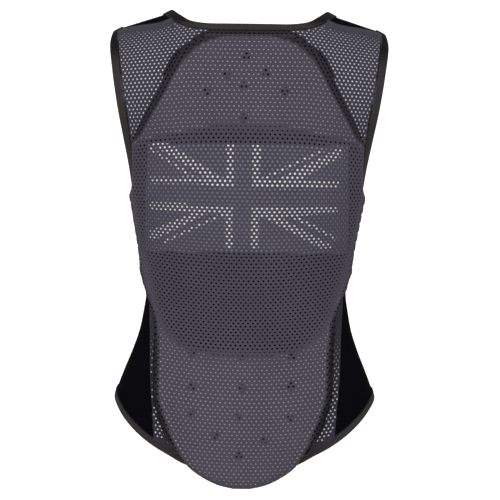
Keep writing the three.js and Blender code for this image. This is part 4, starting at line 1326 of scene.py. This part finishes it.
u, v = np.meshgrid(np.linspace(0, 1, 60), np.linspace(0, 1, 130))
start = -seamLine(mix(front["seam"], math.pi, u))
distance = mix(start, distanceAt(front["foot"] * body["height"]), v)
reach = math.pi - frontTurn(front["zipHalfWidth"] + panels["seamGap"], distance)
angle = mix(front["seam"], reach, u)
frontRight = panelShell("frontPanelRight", angle, distance)
frontLeft = mirroredPiece(frontRight, "frontPanelLeft")

turn, v = np.meshgrid(np.linspace(-1, 1, 21), np.linspace(0, 1, 130))
distance = distanceAt(mix(front["top"], front["foot"], v) * body["height"])
angle = math.pi + turn * frontTurn(front["zipHalfWidth"], distance)
zipTape = panelShell("zipTape", angle, distance, 0.0013)

for piece, node in ((sideRight, "side_panel_right"), (sideLeft, "side_panel_left")):
    finishPiece(piece, stretchKnit, node)
for piece, node in ((frontRight, "front_panel_right"), (frontLeft, "front_panel_left")):
    finishPiece(piece, stretchKnit, node)
finishPiece(zipTape, zipTapeKnit, "front_zip")
for cut in cuts:
    bpy.data.objects.remove(cut)


# zip teeth and slider

zipSizes = {
    "toothAcross": 0.0034, "toothDown": 0.0012, "toothDeep": 0.0020, "step": 0.0021,
    "first": 0.150, "last": 0.779,
}


def frontPlaceOf(level, lift):
    distance = distanceAt(level)
    return lifted(np.full(level.shape, math.pi), distance, np.full(level.shape, lift))


def makeTeeth():
    levels = np.arange(zipSizes["first"] * body["height"], zipSizes["last"] * body["height"], zipSizes["step"])
    base = frontPlaceOf(levels, layers["panels"][0] + 0.0018)
    bpy.ops.object.select_all(action="DESELECT")
    bpy.ops.mesh.primitive_cube_add(size=1, location=(0, 0, 0))
    tooth = bpy.context.object
    tooth.scale = (zipSizes["toothAcross"], zipSizes["toothDeep"], zipSizes["toothDown"])
    bpy.ops.object.transform_apply(location=True, rotation=True, scale=True)
    bpy.ops.object.mode_set(mode="EDIT")
    bpy.ops.mesh.select_all(action="SELECT")
    bpy.ops.mesh.bevel(offset=0.00035, segments=1)
    bpy.ops.object.mode_set(mode="OBJECT")
    corners = np.array([v.co for v in tooth.data.vertices])
    faces = [tuple(p.vertices) for p in tooth.data.polygons]
    bpy.data.objects.remove(tooth)
    points, toothFaces = [], []
    for number, place in enumerate(base):
        side = 0.0007 if number % 2 else -0.0007
        points.append(corners + place + (side, 0, 0))
        toothFaces += [tuple(i + number * len(corners) for i in face) for face in faces]
    piece = meshPiece("zipTeeth", np.vstack(points), toothFaces)
    return finishPiece(piece, plastic, None, 30)


def plasticMaterial():
    material, tree, shader = newMaterial("zip_plastic", 0.35, 0.0, 0.5)
    noise = nodeOf(tree, "TexNoise", Scale=900.0, Detail=2.0)
    coords = nodeOf(tree, "TexCoord")
    tree.links.new(coords.outputs["Object"], noise.inputs["Vector"])
    shade = ramp(tree, noise.outputs["Fac"], [(0.3, (0.012, 0.012, 0.013)), (0.7, (0.03, 0.03, 0.032))])
    tree.links.new(shade, shader.inputs["Base Color"])
    addBump(tree, shader, noise.outputs["Fac"], 0.15, 0.0002)
    return material


plastic = plasticMaterial()
teeth = makeTeeth()


def makeSlider():
    top = frontPlaceOf(np.array([zipSizes["first"] * body["height"] + 0.004]), layers["panels"][0] + 0.0032)[0]
    bpy.ops.object.select_all(action="DESELECT")
    bpy.ops.mesh.primitive_cube_add(size=1, location=tuple(top))
    slider = bpy.context.object
    slider.name = "zipSlider"
    slider.scale = (0.0095, 0.0042, 0.0115)
    bpy.ops.object.transform_apply(location=False, rotation=False, scale=True)
    bpy.ops.object.mode_set(mode="EDIT")
    bpy.ops.mesh.select_all(action="SELECT")
    bpy.ops.mesh.subdivide(number_cuts=2)
    bpy.ops.object.mode_set(mode="OBJECT")
    for vert in slider.data.vertices:
        taper = 1 - 0.32 * smooth((0.001 - vert.co.z) / 0.006)
        vert.co.x *= float(taper)
    bpy.ops.object.transform_apply(location=True, rotation=True, scale=True)
    activate(slider)
    bpy.ops.object.modifier_add(type="BEVEL")
    slider.modifiers["Bevel"].width = 0.0008
    slider.modifiers["Bevel"].segments = 2
    bpy.ops.object.modifier_apply(modifier="Bevel")
    finishPiece(slider, plastic, None, 35)
    bpy.ops.mesh.primitive_cube_add(size=1, location=(top[0], top[1] + 0.0034, top[2] - 0.013))
    pull = bpy.context.object
    pull.name = "zipPull"
    pull.scale = (0.0062, 0.0018, 0.0260)
    bpy.ops.object.transform_apply(location=True, rotation=True, scale=True)
    bpy.ops.object.modifier_add(type="BEVEL")
    pull.modifiers["Bevel"].width = 0.00085
    pull.modifiers["Bevel"].segments = 3
    bpy.ops.object.modifier_apply(modifier="Bevel")
    return slider, finishPiece(pull, plastic, None, 35)


makeSlider()
print("panels and zip ready")


# seams: a rolled edge beside the stretch panels and round the tongue

seams = {
    "radius": 0.0011, "sides": 8, "edgeRadius": 0.0007,
    "fromPanel": 0.004, "lift": 0.0030,   # beside the stretch panels, angle and height over the form
    "tongueTurn": 0.62, "edgeInset": 0.0004, "edgeLift": 0.0062,   # round the tongue
}


def seamRoll(name, points, radius, material):
    # a thin roll of cloth along a line
    points = np.asarray(points)
    ahead = np.gradient(points, axis=0)
    ahead /= np.linalg.norm(ahead, axis=1, keepdims=True)
    away = points - np.array([0, 0.01, 0])
    away[:, 2] = 0
    away -= ahead * (away * ahead).sum(axis=1, keepdims=True)
    away /= np.linalg.norm(away, axis=1, keepdims=True)
    side = np.cross(ahead, away)
    turns = np.linspace(0, 2 * math.pi, seams["sides"], endpoint=False)
    ring = points[:, None] + radius * (away[:, None] * np.cos(turns)[:, None] + side[:, None] * np.sin(turns)[:, None])
    sides, count = seams["sides"], len(points)
    along = np.concatenate([[0], np.cumsum(np.linalg.norm(np.diff(points, axis=0), axis=1))])
    flat = np.stack(np.broadcast_arrays(along[:, None], turns[None] * radius), -1).reshape(-1, 2)
    faces = [(k * sides + i, k * sides + (i + 1) % sides, (k + 1) * sides + (i + 1) % sides, (k + 1) * sides + i)
             for k in range(count - 1) for i in range(sides)]
    faces += [tuple(range(sides))[::-1], tuple((count - 1) * sides + i for i in range(sides))]
    piece = meshPiece(name, ring.reshape(-1, 3), faces, flat)
    outwards(piece)
    return finishPiece(piece, material, None, 60)


drops = np.linspace(float(distanceAt(-armFoot - 0.006)), float(hemDistance(math.radians(62), 0.008)), 120)
for sideName, sign in (("Right", 1), ("Left", -1)):
    turns = sign * (seamAngle(drops) + seams["fromPanel"])
    line = lifted(turns, drops, np.full(drops.shape, seams["lift"]))
    seamRoll("sideSeam" + sideName, line, seams["radius"], stretchKnit)

turns = np.linspace(-seams["tongueTurn"], seams["tongueTurn"], 240)
foot = backBottom(turns)
onTongue = np.abs(form(turns, foot)[:, 0]) < hem["tongueHalfWidth"] + 0.004
turns, foot = turns[onTongue], foot[onTongue]
line = lifted(turns, foot - seams["edgeInset"], np.full(turns.shape, seams["edgeLift"]))
seamRoll("tongueEdge", line, seams["edgeRadius"], thread)
print("seams ready")
